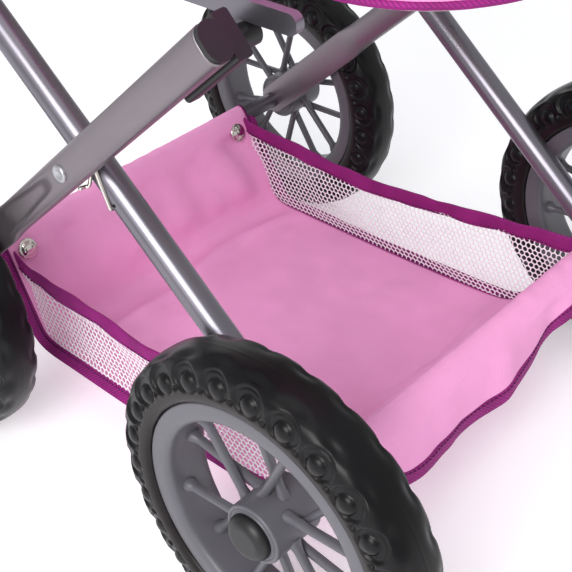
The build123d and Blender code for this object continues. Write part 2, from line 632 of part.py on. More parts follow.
# ---------------------------------------------------------------- the whole stroller
def make_nodes():
    nodes = {}
    for end, x in (("front", AXLE_X), ("rear", -AXLE_X)):
        nodes[f"axle_{end}"] = axle(x)
        for name, side in SIDES.items():
            nodes[f"tyre_{end}_{name}"] = tyre(x, side * HALF_TRACK)
            nodes[f"rim_{end}_{name}"] = rim(x, side * HALF_TRACK)
            nodes[f"hub_cap_{end}_{name}"] = hub_cap(x, side)
    for name, side in SIDES.items():
        nodes[f"push_tube_{name}"] = push_tube(side)
        nodes[f"leg_tube_{name}"] = leg_tube(side)
        nodes[f"cot_adapter_{name}"] = cot_adapter(side)
        nodes[f"cot_bracket_{name}"] = cot_bracket(side)
        nodes[f"cot_rail_{name}"] = cot_rail(side)
        nodes[f"handle_disc_inner_{name}"] = handle_hub(side, -1)
        nodes[f"handle_disc_outer_{name}"] = handle_hub(side, 1)
        nodes[f"handle_button_{name}"] = handle_button(side)
    nodes["cross_tube_front"] = cross_tube(AXLE_X, PUSH_TUBE_Y - PUSH_TUBE_RADIUS)
    nodes["cross_tube_rear"] = cross_tube(-AXLE_X, LEG_Y - LEG_PLATE_THICKNESS / 2)
    nodes["spacers_front"] = spacers(AXLE_X, PUSH_TUBE_Y + PUSH_TUBE_RADIUS)
    nodes["spacers_rear"] = spacers(-AXLE_X, LEG_Y + LEG_PLATE_THICKNESS / 2)
    for maker in (push_tube_plugs, leg_plugs, pivot_rivets, pivot_springs, basket_front, basket_rear,
                  basket_snaps, cot_slats, cot_board, cot_shell, cot_rim, mattress, hood_front,
                  hood_rear, hood_front_bow, hood_rear_bow, hood_pivots, handle_pins, handle_bar,
                  handle_grip):
        nodes[maker.__name__] = maker()
    return nodes


def main():
    os.makedirs("parts", exist_ok=True)
    for name, shape in make_nodes().items():
        shape.label = name
        export_step(shape, f"parts/{name}.step")


main()
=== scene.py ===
"""Looks of a folding doll stroller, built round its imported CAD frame, in metres."""

import json
import math

import bmesh
import bpy
import numpy as np
from mathutils import Matrix, Vector, noise


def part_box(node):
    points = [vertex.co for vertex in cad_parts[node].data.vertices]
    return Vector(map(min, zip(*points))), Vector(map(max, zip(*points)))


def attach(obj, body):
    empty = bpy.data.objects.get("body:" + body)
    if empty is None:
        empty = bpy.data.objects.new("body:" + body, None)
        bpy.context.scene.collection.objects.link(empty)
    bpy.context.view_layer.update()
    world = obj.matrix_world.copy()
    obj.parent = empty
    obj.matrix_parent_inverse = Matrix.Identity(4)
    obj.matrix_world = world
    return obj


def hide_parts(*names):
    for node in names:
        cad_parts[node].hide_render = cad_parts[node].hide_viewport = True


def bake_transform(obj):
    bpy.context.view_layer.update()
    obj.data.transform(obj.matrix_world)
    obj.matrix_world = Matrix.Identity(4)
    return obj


bl_info = {
    "name": "Doll stroller",
    "version": (1, 0, 0),
    "blender": (4, 5, 0),
    "location": "View3D > Sidebar > Stroller",
    "description": "Fabric, wheels, fittings and finishes of a folding doll stroller",
    "category": "Object",
}

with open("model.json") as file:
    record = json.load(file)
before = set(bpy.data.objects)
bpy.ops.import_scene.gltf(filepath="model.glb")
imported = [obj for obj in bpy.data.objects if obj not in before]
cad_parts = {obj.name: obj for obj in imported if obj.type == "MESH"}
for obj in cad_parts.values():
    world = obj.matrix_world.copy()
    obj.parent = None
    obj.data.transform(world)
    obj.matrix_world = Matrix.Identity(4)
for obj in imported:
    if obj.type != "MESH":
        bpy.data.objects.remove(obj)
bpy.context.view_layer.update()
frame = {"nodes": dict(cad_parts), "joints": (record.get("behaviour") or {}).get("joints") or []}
JOINTS = {j["name"]: j for j in frame["joints"]}
MM = 0.001
SIDES = {"left": 1, "right": -1}
PIVOT = Vector(JOINTS["frame_fold"]["pos_m"])
FRONT_AXLE = Vector(JOINTS["wheel_spin_front_left"]["pos_m"])
REAR_AXLE = Vector(JOINTS["wheel_spin_rear_left"]["pos_m"])
HOOD_AXIS = Vector(JOINTS["hood_fold"]["pos_m"])
RIM_LOW, RIM_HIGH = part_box("cot_rim")
WHEEL_LOW, WHEEL_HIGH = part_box("tyre_front_right")
WHEEL_Y = -(WHEEL_HIGH.y + WHEEL_LOW.y) / 2


# ------------------------------------------------------------------ settings
def number(name, description, default, unit="LENGTH"):
    return bpy.props.FloatProperty(name=name, description=description, default=default, unit=unit,
                                   precision=4)


def colour(name, description, default):
    return bpy.props.StringProperty(name=name, description=description, default=default)


class StrollerSizes(bpy.types.PropertyGroup):
    """Sizes that a user would change."""
    mesh_pitch: number("Mesh pitch", "Distance between neighbouring holes of the net", 3.9 * MM)
    mesh_strand: number("Mesh strand", "Width of the net's strands", 0.52 * MM)
    tape_width: number("Tape width", "Finished width of the binding tape", 8.5 * MM)
    tape_thickness: number("Tape thickness", "Thickness of the folded binding tape", 1.5 * MM)
    stitch_length: number("Stitch length", "Length of one visible stitch", 2.3 * MM)
    cloth_thickness: number("Cloth thickness", "Thickness of the woven fabric", 0.5 * MM)
    lobes: bpy.props.IntProperty(name="Tread lobes", description="Scallops on each shoulder of a tyre",
                                 default=26)


class StrollerColours(bpy.types.PropertyGroup):
    """Colours as sRGB hex values."""
    pink: colour("Pink cloth", "Woven polyester of the basket, carrycot and hood", "#F0A2D2")
    lining: colour("Lining", "Pale lining and mattress", "#F3CBE5")
    net: colour("Net", "Polyester net of the basket's sides", "#F3EAF0")
    fuchsia: colour("Binding", "Ribbed binding tape", "#8E1A72")
    thread: colour("Thread", "Sewing thread of the binding", "#5A1250")
    silver: colour("Powder coat", "Silver-grey coat of the tubes", "#77737B")
    # The legs have the same silver powder coat as the tubes; this colour is painted lighter and warmer, as
    # painted light.
    leg_silver_painted_light: colour("Leg coat", "Warmer satin coat of the legs", "#7F777C")
    rim: colour("Rim plastic", "Silver-grey moulded wheels", "#57555B")
    tyre: colour("Tyre foam", "Black moulded EVA", "#080709")
    black: colour("Black plastic", "Moulded fittings", "#0F0E10")


# ------------------------------------------------------------------ materials
def linear(hex_colour):
    """An sRGB hex value as linear RGBA."""
    parts = [int(hex_colour[i:i + 2], 16) / 255 for i in (1, 3, 5)]
    return (*[p / 12.92 if p <= 0.04045 else ((p + 0.055) / 1.055) ** 2.4 for p in parts], 1.0)


def shade(hex_colour, factor):
    """The same colour, lighter or darker in linear light."""
    r, g, b, a = linear(hex_colour)
    return (min(r * factor, 1), min(g * factor, 1), min(b * factor, 1), a)


def add_node(material, kind, links=None, **settings):
    """Adds one node, with its settings and with values or links for its inputs."""
    node = material.node_tree.nodes.new(kind)
    for key, value in settings.items():
        setattr(node, key, value)
    for key, value in (links or {}).items():
        if isinstance(value, bpy.types.NodeSocket):
            material.node_tree.links.new(value, node.inputs[key])
        else:
            node.inputs[key].default_value = value
    return node


def surface(name, **values):
    """A material with its Principled shader, whose uniform values go on its own sockets."""
    material = bpy.data.materials.new(name)
    material.use_nodes = True
    shader = material.node_tree.nodes["Principled BSDF"]
    for key, value in values.items():
        shader.inputs[key].default_value = value
    return material, shader


def join(material, source, shader, socket):
    material.node_tree.links.new(source, shader.inputs[socket])


def tone(material, value, dark, light, low=0.3, high=0.7):
    """A colour that runs from dark to light as a value runs from low to high."""
    ramp = add_node(material, "ShaderNodeValToRGB", {"Fac": value})
    ramp.color_ramp.elements[0].position, ramp.color_ramp.elements[0].color = low, dark
    ramp.color_ramp.elements[1].position, ramp.color_ramp.elements[1].color = high, light
    return ramp.outputs["Color"]


def noise_value(material, place, scale, detail):
    """The grey value of a noise."""
    return add_node(material, "ShaderNodeTexNoise",
                    {"Vector": place, "Scale": scale, "Detail": detail}).outputs["Fac"]


def bands(material, place, scale, distortion, way):
    """The grey value of slightly wavering bands."""
    return add_node(material, "ShaderNodeTexWave", {"Vector": place, "Scale": scale, "Distortion": distortion,
                                                    "Detail": 1.0}, bands_direction=way).outputs["Fac"]


def multiply_colour(material, shader, base, marks):
    """Colours the shader with a base colour multiplied by marks."""
    mix = add_node(material, "ShaderNodeMix", {0: 1.0, 6: base, 7: marks}, data_type="RGBA",
                   blend_type="MULTIPLY")
    join(material, mix.outputs[2], shader, "Base Color")


def vary_gloss(material, shader, value, low, high):
    """Roughness that runs from low to high with a value."""
    gloss = add_node(material, "ShaderNodeMapRange", {"Value": value, "To Min": low, "To Max": high})
    join(material, gloss.outputs["Result"], shader, "Roughness")


def emboss(material, shader, height, strength, depth):
    """Bump from a height value; depth is in metres."""
    bump = add_node(material, "ShaderNodeBump", {"Height": height, "Strength": strength, "Distance": depth})
    join(material, bump.outputs["Normal"], shader, "Normal")


def woven_polyester(name, hex_colour, sheen=0.15):
    """Plain-weave polyester: matt, a soft sheen at grazing angles and a fine thread grid."""
    material, shader = surface(name, **{"Roughness": 0.82, "IOR": 1.5, "Specular IOR Level": 0.25,
                                        "Sheen Weight": sheen, "Sheen Roughness": 0.45,
                                        "Sheen Tint": shade(hex_colour, 1.1)})
    place = add_node(material, "ShaderNodeTexCoord").outputs["UV"]
    cloud = noise_value(material, place, 14.0, 3.0)
    # The real threads are 0.25 mm apart; they are drawn about 1 mm apart, so that they show.
    warp, weft = [bands(material, place, 1 / (math.pi * MM), 0.6, way) for way in "XY"]
    grid = add_node(material, "ShaderNodeMath", {0: warp, 1: weft}, operation="ADD").outputs[0]
    clouded = tone(material, cloud, shade(hex_colour, 0.94), shade(hex_colour, 1.05))
    threads = tone(material, grid, (0.9, 0.88, 0.9, 1), (1, 1, 1, 1), 0.2, 0.9)
    multiply_colour(material, shader, clouded, threads)
    crumple = noise_value(material, place, 90.0, 4.0)
    height = add_node(material, "ShaderNodeMath", {0: grid, 1: crumple}, operation="MULTIPLY").outputs[0]
    emboss(material, shader, height, 0.45, 0.3 * MM)
    return material


def ribbed_tape(name, hex_colour):
    """Ribbed binding tape: fine diagonal ribs, matt with a dull silky edge."""
    material, shader = surface(name, **{"Roughness": 0.7, "IOR": 1.5, "Specular IOR Level": 0.3,
                                        "Sheen Weight": 0.25, "Sheen Roughness": 0.4,
                                        "Sheen Tint": shade(hex_colour, 2.0)})
    place = add_node(material, "ShaderNodeTexCoord").outputs["UV"]
    cloud = noise_value(material, place, 60.0, 3.0)
    # Ribs run diagonally, as on bias binding, about 1.7 mm apart.
    ribs = bands(material, place, 1 / (1.2 * MM) / 3.14, 0.8, "DIAGONAL")
    clouded = tone(material, cloud, shade(hex_colour, 0.8), shade(hex_colour, 1.15))
    # The grooves between the ribs are painted darker: painted shade.
    painted_groove_shade = tone(material, ribs, (0.6, 0.55, 0.6, 1), (1, 1, 1, 1), 0.1, 0.6)
    multiply_colour(material, shader, clouded, painted_groove_shade)
    emboss(material, shader, ribs, 0.5, 0.3 * MM)
    return material


def knitted_net(name, hex_colour):
    """Warp-knitted polyester net: bright, slightly glossy filaments."""
    material, shader = surface(name, **{"Roughness": 0.5, "IOR": 1.5, "Sheen Weight": 0.2})
    place = add_node(material, "ShaderNodeTexCoord").outputs["Object"]
    cloud = noise_value(material, place, 700.0, 2.0)
    clouded = tone(material, cloud, shade(hex_colour, 0.92), shade(hex_colour, 1.0))
    join(material, clouded, shader, "Base Color")
    emboss(material, shader, cloud, 0.4, 0.15 * MM)
    return material


def grained(name, hex_colour, grain_mm, spread, depth_mm, strength, rough=(0.4, 0.5), **values):
    """A surface with a fine grain: its colour, gloss and height vary by one noise."""
    material, shader = surface(name, **values)
    place = add_node(material, "ShaderNodeTexCoord").outputs["Object"]
    fine = noise_value(material, place, 1 / (grain_mm * MM), 3.0)
    broad = noise_value(material, place, 28.0, 3.0)
    clouded = tone(material, broad, shade(hex_colour, 1 - spread), shade(hex_colour, 1 + spread))
    join(material, clouded, shader, "Base Color")
    vary_gloss(material, shader, broad, *rough)
    emboss(material, shader, fine, strength, depth_mm * MM)
    return material


def powder_coated_steel(name, hex_colour, rough):
    """Steel with a silver metallic powder coat: satin streaks of light and a faint orange peel."""
    return grained(name, hex_colour, 1.1, 0.05, 0.03, 0.08, rough, **{"Metallic": 0.85})


def nickel_plate(name, hex_colour):
    """Pressed steel with bright nickel plate: sharp warm reflections."""
    return grained(name, hex_colour, 0.9, 0.04, 0.02, 0.15, (0.1, 0.18), **{"Metallic": 1.0})


def zinc_plated_steel(name, hex_colour):
    """Zinc-plated rod: cloudy, softer than nickel."""
    return grained(name, hex_colour, 0.8, 0.12, 0.04, 0.3, (0.3, 0.45), **{"Metallic": 1.0})


def moulded_plastic(name, hex_colour, rough):
    """Injection-moulded plastic with a spark-eroded grain of about 0.6 mm."""
    return grained(name, hex_colour, 0.6, 0.05, 0.05, 0.25, rough, **{"IOR": 1.5, "Specular IOR Level": 0.45})


def moulded_eva(name, hex_colour):
    """EVA foam tyre: closed skin with a low waxy gloss and a brownish bloom on the side wall."""
    material, shader = surface(name, **{"IOR": 1.48, "Specular IOR Level": 0.22})
    place = add_node(material, "ShaderNodeTexCoord").outputs["Object"]
    broad = noise_value(material, place, 35.0, 4.0)
    fine = noise_value(material, place, 1 / (0.7 * MM), 2.0)
    parts = add_node(material, "ShaderNodeSeparateXYZ", {"Vector": place})
    flat = add_node(material, "ShaderNodeCombineXYZ", {"X": parts.outputs["X"], "Y": parts.outputs["Y"]})
    radius = add_node(material, "ShaderNodeVectorMath", {0: flat.outputs[0]}, operation="LENGTH")
    # The bloom lies on the smooth ring inside the scallops and ends about 81 mm from the axle.
    wall = add_node(material, "ShaderNodeMapRange", {"Value": radius.outputs["Value"], "From Min": 79.5 * MM,
                                                     "From Max": 82.5 * MM, "To Min": 1.0, "To Max": 0.0})
    dark = tone(material, broad, shade(hex_colour, 0.8), shade(hex_colour, 1.25))
    bloom = linear("#171112")
    mix = add_node(material, "ShaderNodeMix", {"Factor": wall.outputs["Result"], 6: dark, 7: bloom},
                   data_type="RGBA")
    join(material, mix.outputs[2], shader, "Base Color")
    vary_gloss(material, shader, broad, 0.26, 0.4)
    emboss(material, shader, fine, 0.2, 0.08 * MM)
    return material


MATERIALS = {}


def finish_of(name):
    """One of the stroller's materials, made once from the scene's colours."""
    if name not in MATERIALS:
        c = bpy.context.scene.stroller_colours
        makers = {
            "pink_polyester": lambda: woven_polyester("pink_woven_polyester", c.pink),
            "lining_cotton": lambda: woven_polyester("pale_lining_cotton", c.lining, 0.12),
            "binding_tape": lambda: ribbed_tape("fuchsia_grosgrain_tape", c.fuchsia),
            "thread": lambda: ribbed_tape("purple_sewing_thread", c.thread),
            "net": lambda: knitted_net("white_knitted_net", c.net),
            "tube_coat": lambda: powder_coated_steel("silver_powder_coated_steel", c.silver, (0.24, 0.34)),
            # The tubes' powder coat made rougher for the legs, its colour painted lighter and warmer: painted
            # light.
            "leg_coat": lambda: powder_coated_steel("satin_powder_coat_painted_light", c.leg_silver_painted_light, (0.34, 0.46)),
            "nickel": lambda: nickel_plate("nickel_plated_steel", "#D6CFC8"),
            "zinc": lambda: zinc_plated_steel("zinc_plated_steel", "#B4B4B8"),
            "rim_plastic": lambda: moulded_plastic("silver_grey_moulded_plastic", c.rim, (0.34, 0.46)),
            "black_plastic": lambda: moulded_plastic("black_moulded_plastic", c.black, (0.38, 0.5)),
            "eva": lambda: moulded_eva("black_moulded_eva", c.tyre),
            "grip_foam": lambda: grained("black_grip_foam", c.black, 1.4, 0.15, 0.35, 0.6, (0.7, 0.85),
                                         **{"IOR": 1.45, "Specular IOR Level": 0.3}),
            "board": lambda: grained("grey_hardboard", "#CFC8BE", 0.9, 0.08, 0.1, 0.3, (0.6, 0.75)),
        }
        MATERIALS[name] = makers[name]()
    return MATERIALS[name]


# ------------------------------------------------------------------ mesh helpers
def piece_from(name, points, faces, finish, uvs=None, smooth=True):
    """A mesh object from points in metres, with optional UVs in metres, one per point."""
    mesh = bpy.data.meshes.new(name)
    points = np.asarray(points, float).reshape(-1, 3)
    mesh.from_pydata([tuple(p) for p in points], [], [tuple(f) for f in faces])
    mesh.validate()
    if uvs is not None:
        layer = mesh.uv_layers.new(name="UVMap")
        corner = np.zeros(len(mesh.loops), np.int32)
        mesh.loops.foreach_get("vertex_index", corner)
        layer.data.foreach_set("uv", np.asarray(uvs, np.float32).reshape(-1, 2)[corner].ravel())
    if smooth:
        mesh.shade_smooth()
    made = bpy.data.objects.new(name, mesh)
    bpy.context.scene.collection.objects.link(made)
    made.data.materials.append(finish_of(finish))
    return made


def grid_faces(rows, columns, close_rows=False, close_columns=False):
    """Quads of a grid of points, row by row."""
    faces = []
    for i in range(rows if close_rows else rows - 1):
        for j in range(columns if close_columns else columns - 1):
            a, b = i * columns + j, i * columns + (j + 1) % columns
            c, d = ((i + 1) % rows) * columns + (j + 1) % columns, ((i + 1) % rows) * columns + j
            faces.append((a, b, c, d))
    return faces


def tube_faces(rows, columns):
    """Faces of a tube of rings with a cap at each end."""
    last = (rows - 1) * columns
    caps = [tuple(range(columns))[::-1], tuple(last + k for k in range(columns))]
    return grid_faces(rows, columns, close_columns=True) + caps


def full_turn(count):
    """Evenly spaced angles of one turn."""
    return np.linspace(0, 2 * np.pi, count, endpoint=False)


def fade(value, low, high):
    """A smooth step from 0 at low to 1 at high."""
    t = np.clip((value - low) / (high - low), 0, 1)
    return t * t * (3 - 2 * t)


def arc_lengths(line):
    """How far along a line each of its points lies."""
    steps = np.linalg.norm(np.diff(np.asarray(line, float), axis=0), axis=1)
    return np.concatenate([[0.0], np.cumsum(steps)])


def even(line, step):
    """The same line with points about a step apart."""
    line = np.asarray(line, float)
    length = arc_lengths(line)
    count = max(2, int(round(length[-1] / step)) + 1)
    wanted = np.linspace(0, length[-1], count)
    return np.stack([np.interp(wanted, length, line[:, k]) for k in range(line.shape[1])], axis=1)


def smooth_line(points, step):
    """An evenly spaced Catmull-Rom line through the points."""
    p = np.asarray(points, float)
    p = np.vstack([2 * p[0] - p[1], p, 2 * p[-1] - p[-2]])
    found = []
    for a, b, c, d in zip(p, p[1:], p[2:], p[3:]):
        t = np.linspace(0, 1, 24, endpoint=False)[:, None]
        found.append(0.5 * (2 * b + (c - a) * t + (2 * a - 5 * b + 4 * c - d) * t ** 2
                            + (3 * b - a - 3 * c + d) * t ** 3))
    found.append(p[-2][None, :])
    return even(np.vstack(found), step)


def unit(vectors):
    """The same directions with length 1."""
    vectors = np.asarray(vectors, float)
    return vectors / np.maximum(np.linalg.norm(vectors, axis=-1, keepdims=True), 1e-12)


def ribbon(name, line, across, out, width, thickness, finish="binding_tape"):
    """A folded tape along a line: across is the way its width runs and out its thickness."""
    line, across, out = np.asarray(line, float), unit(across), unit(out)
    turns = full_turn(14)
    wide = np.sign(np.cos(turns)) * np.abs(np.cos(turns)) ** 0.35 * width / 2
    deep = np.sign(np.sin(turns)) * np.abs(np.sin(turns)) ** 0.6 * thickness / 2
    points = line[:, None, :] + across[:, None, :] * wide[:, None] + out[:, None, :] * deep[:, None]
    uvs = np.stack(np.broadcast_arrays(arc_lengths(line)[:, None], wide[None, :] + width), axis=-1)
    return piece_from(name, points, tube_faces(len(line), len(turns)), finish, uvs)


def round_bar(name, line, radius, finish, sides=16):
    """A round bar or wire along a line."""
    line = np.asarray(line, float)
    ahead = unit(np.gradient(line, axis=0))
    first = unit(np.cross(ahead[0], [0.31, 0.87, 0.37]))
    frames = [first]
    for way in ahead[1:]:
        last = frames[-1]
        frames.append(unit(last - way * np.dot(last, way)))
    frames = np.array(frames)
    other = np.cross(ahead, frames)
    turns = full_turn(sides)
    ring = frames[:, None, :] * np.cos(turns)[:, None] + other[:, None, :] * np.sin(turns)[:, None]
    points = line[:, None, :] + ring * np.broadcast_to(np.asarray(radius), (len(line),))[:, None, None]
    return piece_from(name, points, tube_faces(len(line), sides), finish)


def lathe_points(profile, segments):
    """Points and faces of (radius, height) pairs turned about Z."""
    profile = np.asarray(profile, float)
    turns = full_turn(segments)
    radius, height = profile[:, 0], profile[:, 1]
    points = np.stack([radius * np.cos(turns)[:, None], radius * np.sin(turns)[:, None],
                       np.broadcast_to(height, (segments, len(profile)))], axis=-1)
    return points, grid_faces(segments, len(profile), close_rows=True)


def merged(name, parts, finish):
    """One piece from several closed lumps, each (points, faces)."""
    points, faces, start = [], [], 0
    for part_points, part_faces in parts:
        flat = np.asarray(part_points, float).reshape(-1, 3)
        points.append(flat)
        faces += [tuple(start + k for k in f) for f in part_faces]
        start += len(flat)
    return piece_from(name, np.vstack(points), faces, finish)


def stitches(name, line, out, length, gap, radius=0.38 * MM):
    """Short raised threads laid end to end along a line, as one piece."""
    places = even(np.hstack([line, unit(out)]), length + gap)
    line, out = places[:, :3], unit(places[:, 3:])
    ahead = unit(np.gradient(line, axis=0))
    side = unit(np.cross(ahead, out))
    turns = full_turn(6)
    stations = np.array([-0.5, -0.25, 0.25, 0.5]) * length
    girths = np.array([0.25, 1.0, 1.0, 0.25]) * radius
    parts = []
    for centre, way, up, left in zip(line, ahead, out, side):
        ring = np.cos(turns)[:, None] * up + np.sin(turns)[:, None] * left
        points = centre + stations[:, None, None] * way + girths[:, None, None] * ring[None, :, :]
        parts.append((points, tube_faces(len(stations), len(turns))))
    return merged(name, parts, "thread")


def thicken(piece, thickness, offset=0.0):
    """Gives a sheet a thickness."""
    layer = piece.modifiers.new("cloth thickness", "SOLIDIFY")
    layer.thickness, layer.offset = thickness, offset
    return piece


def soft_noise(point, scale, seed=0.0):
    """Smooth noise from -1 to 1 at a point; scale is the size of its bumps, in the point's unit."""
    return noise.noise(Vector((point[0] / scale + seed, point[1] / scale + 2.7 * seed, point[2] / scale)))


# ------------------------------------------------------------------ stage
FLOOR_REACH = 60
WORLD_STRENGTH = 0.72
# Name, place in metres, width in metres and power in watts.
LIGHTS = (("key", (0.6, -1.35, 1.2), 1.0, 24), ("top", (0.3, -0.3, 1.9), 0.9, 2),
          ("fill", (0.6, -2.0, 0.7), 1.4, 5), ("rim", (-1.6, 1.2, 1.3), 1.2, 6))
CAMERA_AZIMUTH, CAMERA_ELEVATION, CAMERA_ROLL = math.radians(44.41), math.radians(36.08), math.radians(-3.2)
CAMERA_DISTANCE = 770 * MM
CAMERA_LENS, SENSOR_WIDTH = 74.9, 36.0
AIM_HEIGHT, AIM_RIGHT, AIM_UP = 91.8 * MM, 0.48 * MM, -17.7 * MM


class STROLLER_OT_stage(bpy.types.Operator):
    """Floor, soft studio lights and camera"""
    bl_idname = "stroller.stage"
    bl_label = "Stage"

    def execute(self, context):
        corners = [(x * FLOOR_REACH, y * FLOOR_REACH, 0) for x, y in ((-1, -1), (1, -1), (1, 1), (-1, 1))]
        floor = piece_from("floor", corners, [(0, 1, 2, 3)], "net", smooth=False)
        paint, shader = surface("pale_matt_floor_paint", **{"Base Color": linear("#F4F4F6"), "Roughness": 0.8,
                                                            "Specular IOR Level": 0.2,
                                                            "Emission Color": linear("#FFFFFF"),
                                                            "Emission Strength": 0.25})
        floor.data.materials.clear()
        floor.data.materials.append(paint)
        world = bpy.data.worlds.new("studio")
        world.use_nodes = True
        sky = world.node_tree.nodes["Background"]
        sky.inputs["Color"].default_value = (0.96, 0.98, 1.0, 1)
        sky.inputs["Strength"].default_value = WORLD_STRENGTH
        context.scene.view_settings.view_transform = "Standard"
        context.scene.world = world
        for name, place, size, power in LIGHTS:
            lamp = bpy.data.lights.new(name, "AREA")
            lamp.shape, lamp.size, lamp.energy = "DISK", size, power
            light = bpy.data.objects.new(name, lamp)
            light.location = place
            light.rotation_euler = (PIVOT - Vector(place)).to_track_quat("-Z", "Y").to_euler()
            context.scene.collection.objects.link(light)
        self.camera(context)
        return {"FINISHED"}

    def camera(self, context):
        """A camera above the near front wheel, a little rolled, aimed past the middle of the basket."""
        level_reach = math.cos(CAMERA_ELEVATION)
        back = Vector((math.sin(CAMERA_AZIMUTH) * level_reach, -math.cos(CAMERA_AZIMUTH) * level_reach,
                       math.sin(CAMERA_ELEVATION)))
        level = Vector((0, 0, 1)).cross(back).normalized()
        upright = back.cross(level)
        right = level * math.cos(CAMERA_ROLL) + upright * math.sin(CAMERA_ROLL)
        up = upright * math.cos(CAMERA_ROLL) - level * math.sin(CAMERA_ROLL)
        aim = Vector((0, 0, AIM_HEIGHT)) + right * AIM_RIGHT + up * AIM_UP
        data = bpy.data.cameras.new("camera")
        data.lens, data.sensor_width = CAMERA_LENS, SENSOR_WIDTH
        camera = bpy.data.objects.new("camera", data)
        camera.matrix_world = Matrix((right, up, back)).transposed().to_4x4()
        camera.location = aim + back * CAMERA_DISTANCE
        context.scene.collection.objects.link(camera)
        context.scene.camera = camera


# ------------------------------------------------------------------ finishes of the CAD pieces
NODE_FINISHES = {
    "tube_coat": ["push_tube_left", "push_tube_right", "cross_tube_front", "cross_tube_rear", "handle_bar",
                  "cot_rail_left", "cot_rail_right", "cot_slats"],
    "black_plastic": ["push_tube_plugs", "leg_plugs", "hub_cap_front_left", "hub_cap_front_right",
                      "hub_cap_rear_left", "hub_cap_rear_right", "cot_adapter_left", "cot_adapter_right",
                      "cot_bracket_left", "cot_bracket_right", "handle_disc_inner_left",
                      "handle_disc_inner_right", "handle_disc_outer_left", "handle_disc_outer_right",
                      "hood_pivots", "spacers_front", "spacers_rear"],
    "rim_plastic": ["handle_button_left", "handle_button_right"],
    "zinc": ["axle_front", "axle_rear", "handle_pins"],
    "grip_foam": ["handle_grip"],
    "board": ["cot_board"],
    "binding_tape": ["cot_rim", "hood_front_bow", "hood_rear_bow"],
}


class STROLLER_OT_finishes(bpy.types.Operator):
    """Finishes of the tubes, fittings, axles and grip that come straight from the frame"""
    bl_idname = "stroller.finishes"
    bl_label = "Finishes"

    def execute(self, context):
        for finish, nodes in NODE_FINISHES.items():
            for node in nodes:
                mesh = frame["nodes"][node].data
                mesh.materials.clear()
                mesh.materials.append(finish_of(finish))
        return {"FINISHED"}


# ------------------------------------------------------------------ wheels
# Radii in mm: middle of the tread's lobes, their corners, and the tyre's seat on the rim.
LOBE_RADIUS, CORNER_RADIUS, SEAT_RADIUS = 86.5, 82.0, 72.9
SPOKE_SIDES = 14


def tyre_profile(count):
    """(radius, y) points of a tyre's outside, from one rim edge over the tread to the other."""
    half = [(73.0, -13.2), (73.6, -14.6), (75.2, -15.9), (78.0, -16.5), (81.0, -16.6), (85.0, -16.3),
            (89.0, -15.6), (92.6, -14.2), (95.2, -12.0), (96.6, -9.0), (97.3, -5.0)]
    line = half + [(97.5, 0.0)] + [(r, -y) for r, y in reversed(half)]
    fine = smooth_line(line, 0.25)
    return even(fine, arc_lengths(fine)[-1] / (count - 1))


def tread_depth(turn, radius, width, lobes):
    """How far the moulded tread lies under (or over) the tyre's smooth outside, in mm."""
    pitch = 2 * np.pi / lobes
    offset = (turn + pitch / 2) % pitch - pitch / 2
    along, up = offset * LOBE_RADIUS, radius - LOBE_RADIUS
    arch = np.sqrt((along / 9.5) ** 2 + ((up - 0.4) / 8.4) ** 2)
    step = np.clip((1.0 - arch) / 0.16, 0, 1)
    deep = 1.9 * fade(step, 0, 1)
    ridge = 0.45 * np.exp(-((arch - 0.76) / 0.08) ** 2)
    dome_reach = np.clip(1 - (along ** 2 + (up + 1.6) ** 2) / 5.4 ** 2, 0, 1)
    dome = 2.6 * dome_reach ** 0.55
    beside = (np.abs(offset) - pitch / 2) * CORNER_RADIUS
    hole = 1.6 * np.clip(1.35 - np.sqrt((beside / 1.9) ** 2 + ((radius - 82.4) / 1.5) ** 2), 0, 1)
    on_shoulder = np.clip((np.abs(width) - 8.5) / 2.0, 0, 1) * np.clip((radius - 79.6) / 0.8, 0, 1)
    scallop = 1.3 * np.exp(-(along / 6.0) ** 2) * np.exp(-((np.abs(width) - 9.5) / 3.0) ** 2)
    seam = -0.12 * np.exp(-(width / 0.35) ** 2)
    return (deep - ridge - dome + hole) * on_shoulder + scallop + seam


def tyre_mesh(lobes):
    """A tyre about Z as points in metres and faces, with its seat on the rim."""
    profile = tyre_profile(105)
    normal = unit(np.stack([np.gradient(profile[:, 1]), -np.gradient(profile[:, 0])], axis=1))
    outward = normal * np.sign(normal[len(normal) // 2, 0])
    turns = full_turn(lobes * 32)
    radius, width = profile[None, :, 0], profile[None, :, 1]
    # The lobes of the two shoulders are half a pitch apart.
    shift = np.where(width < 0, 0, np.pi / lobes)
    depth = tread_depth(turns[:, None] + shift, radius, width, lobes)
    r = radius - depth * outward[None, :, 0]
    y = width - depth * outward[None, :, 1]
    points = np.stack([r * np.cos(turns)[:, None], r * np.sin(turns)[:, None], y], axis=-1)
    seat_width = np.broadcast_to([13.0, -13.0], (len(turns), 2))
    seat = np.stack([SEAT_RADIUS * np.cos(turns)[:, None] * np.ones((1, 2)),
                     SEAT_RADIUS * np.sin(turns)[:, None] * np.ones((1, 2)), seat_width], axis=-1)
    points = np.concatenate([points, seat], axis=1)
    return points * MM, grid_faces(len(turns), points.shape[1], close_rows=True, close_columns=True)


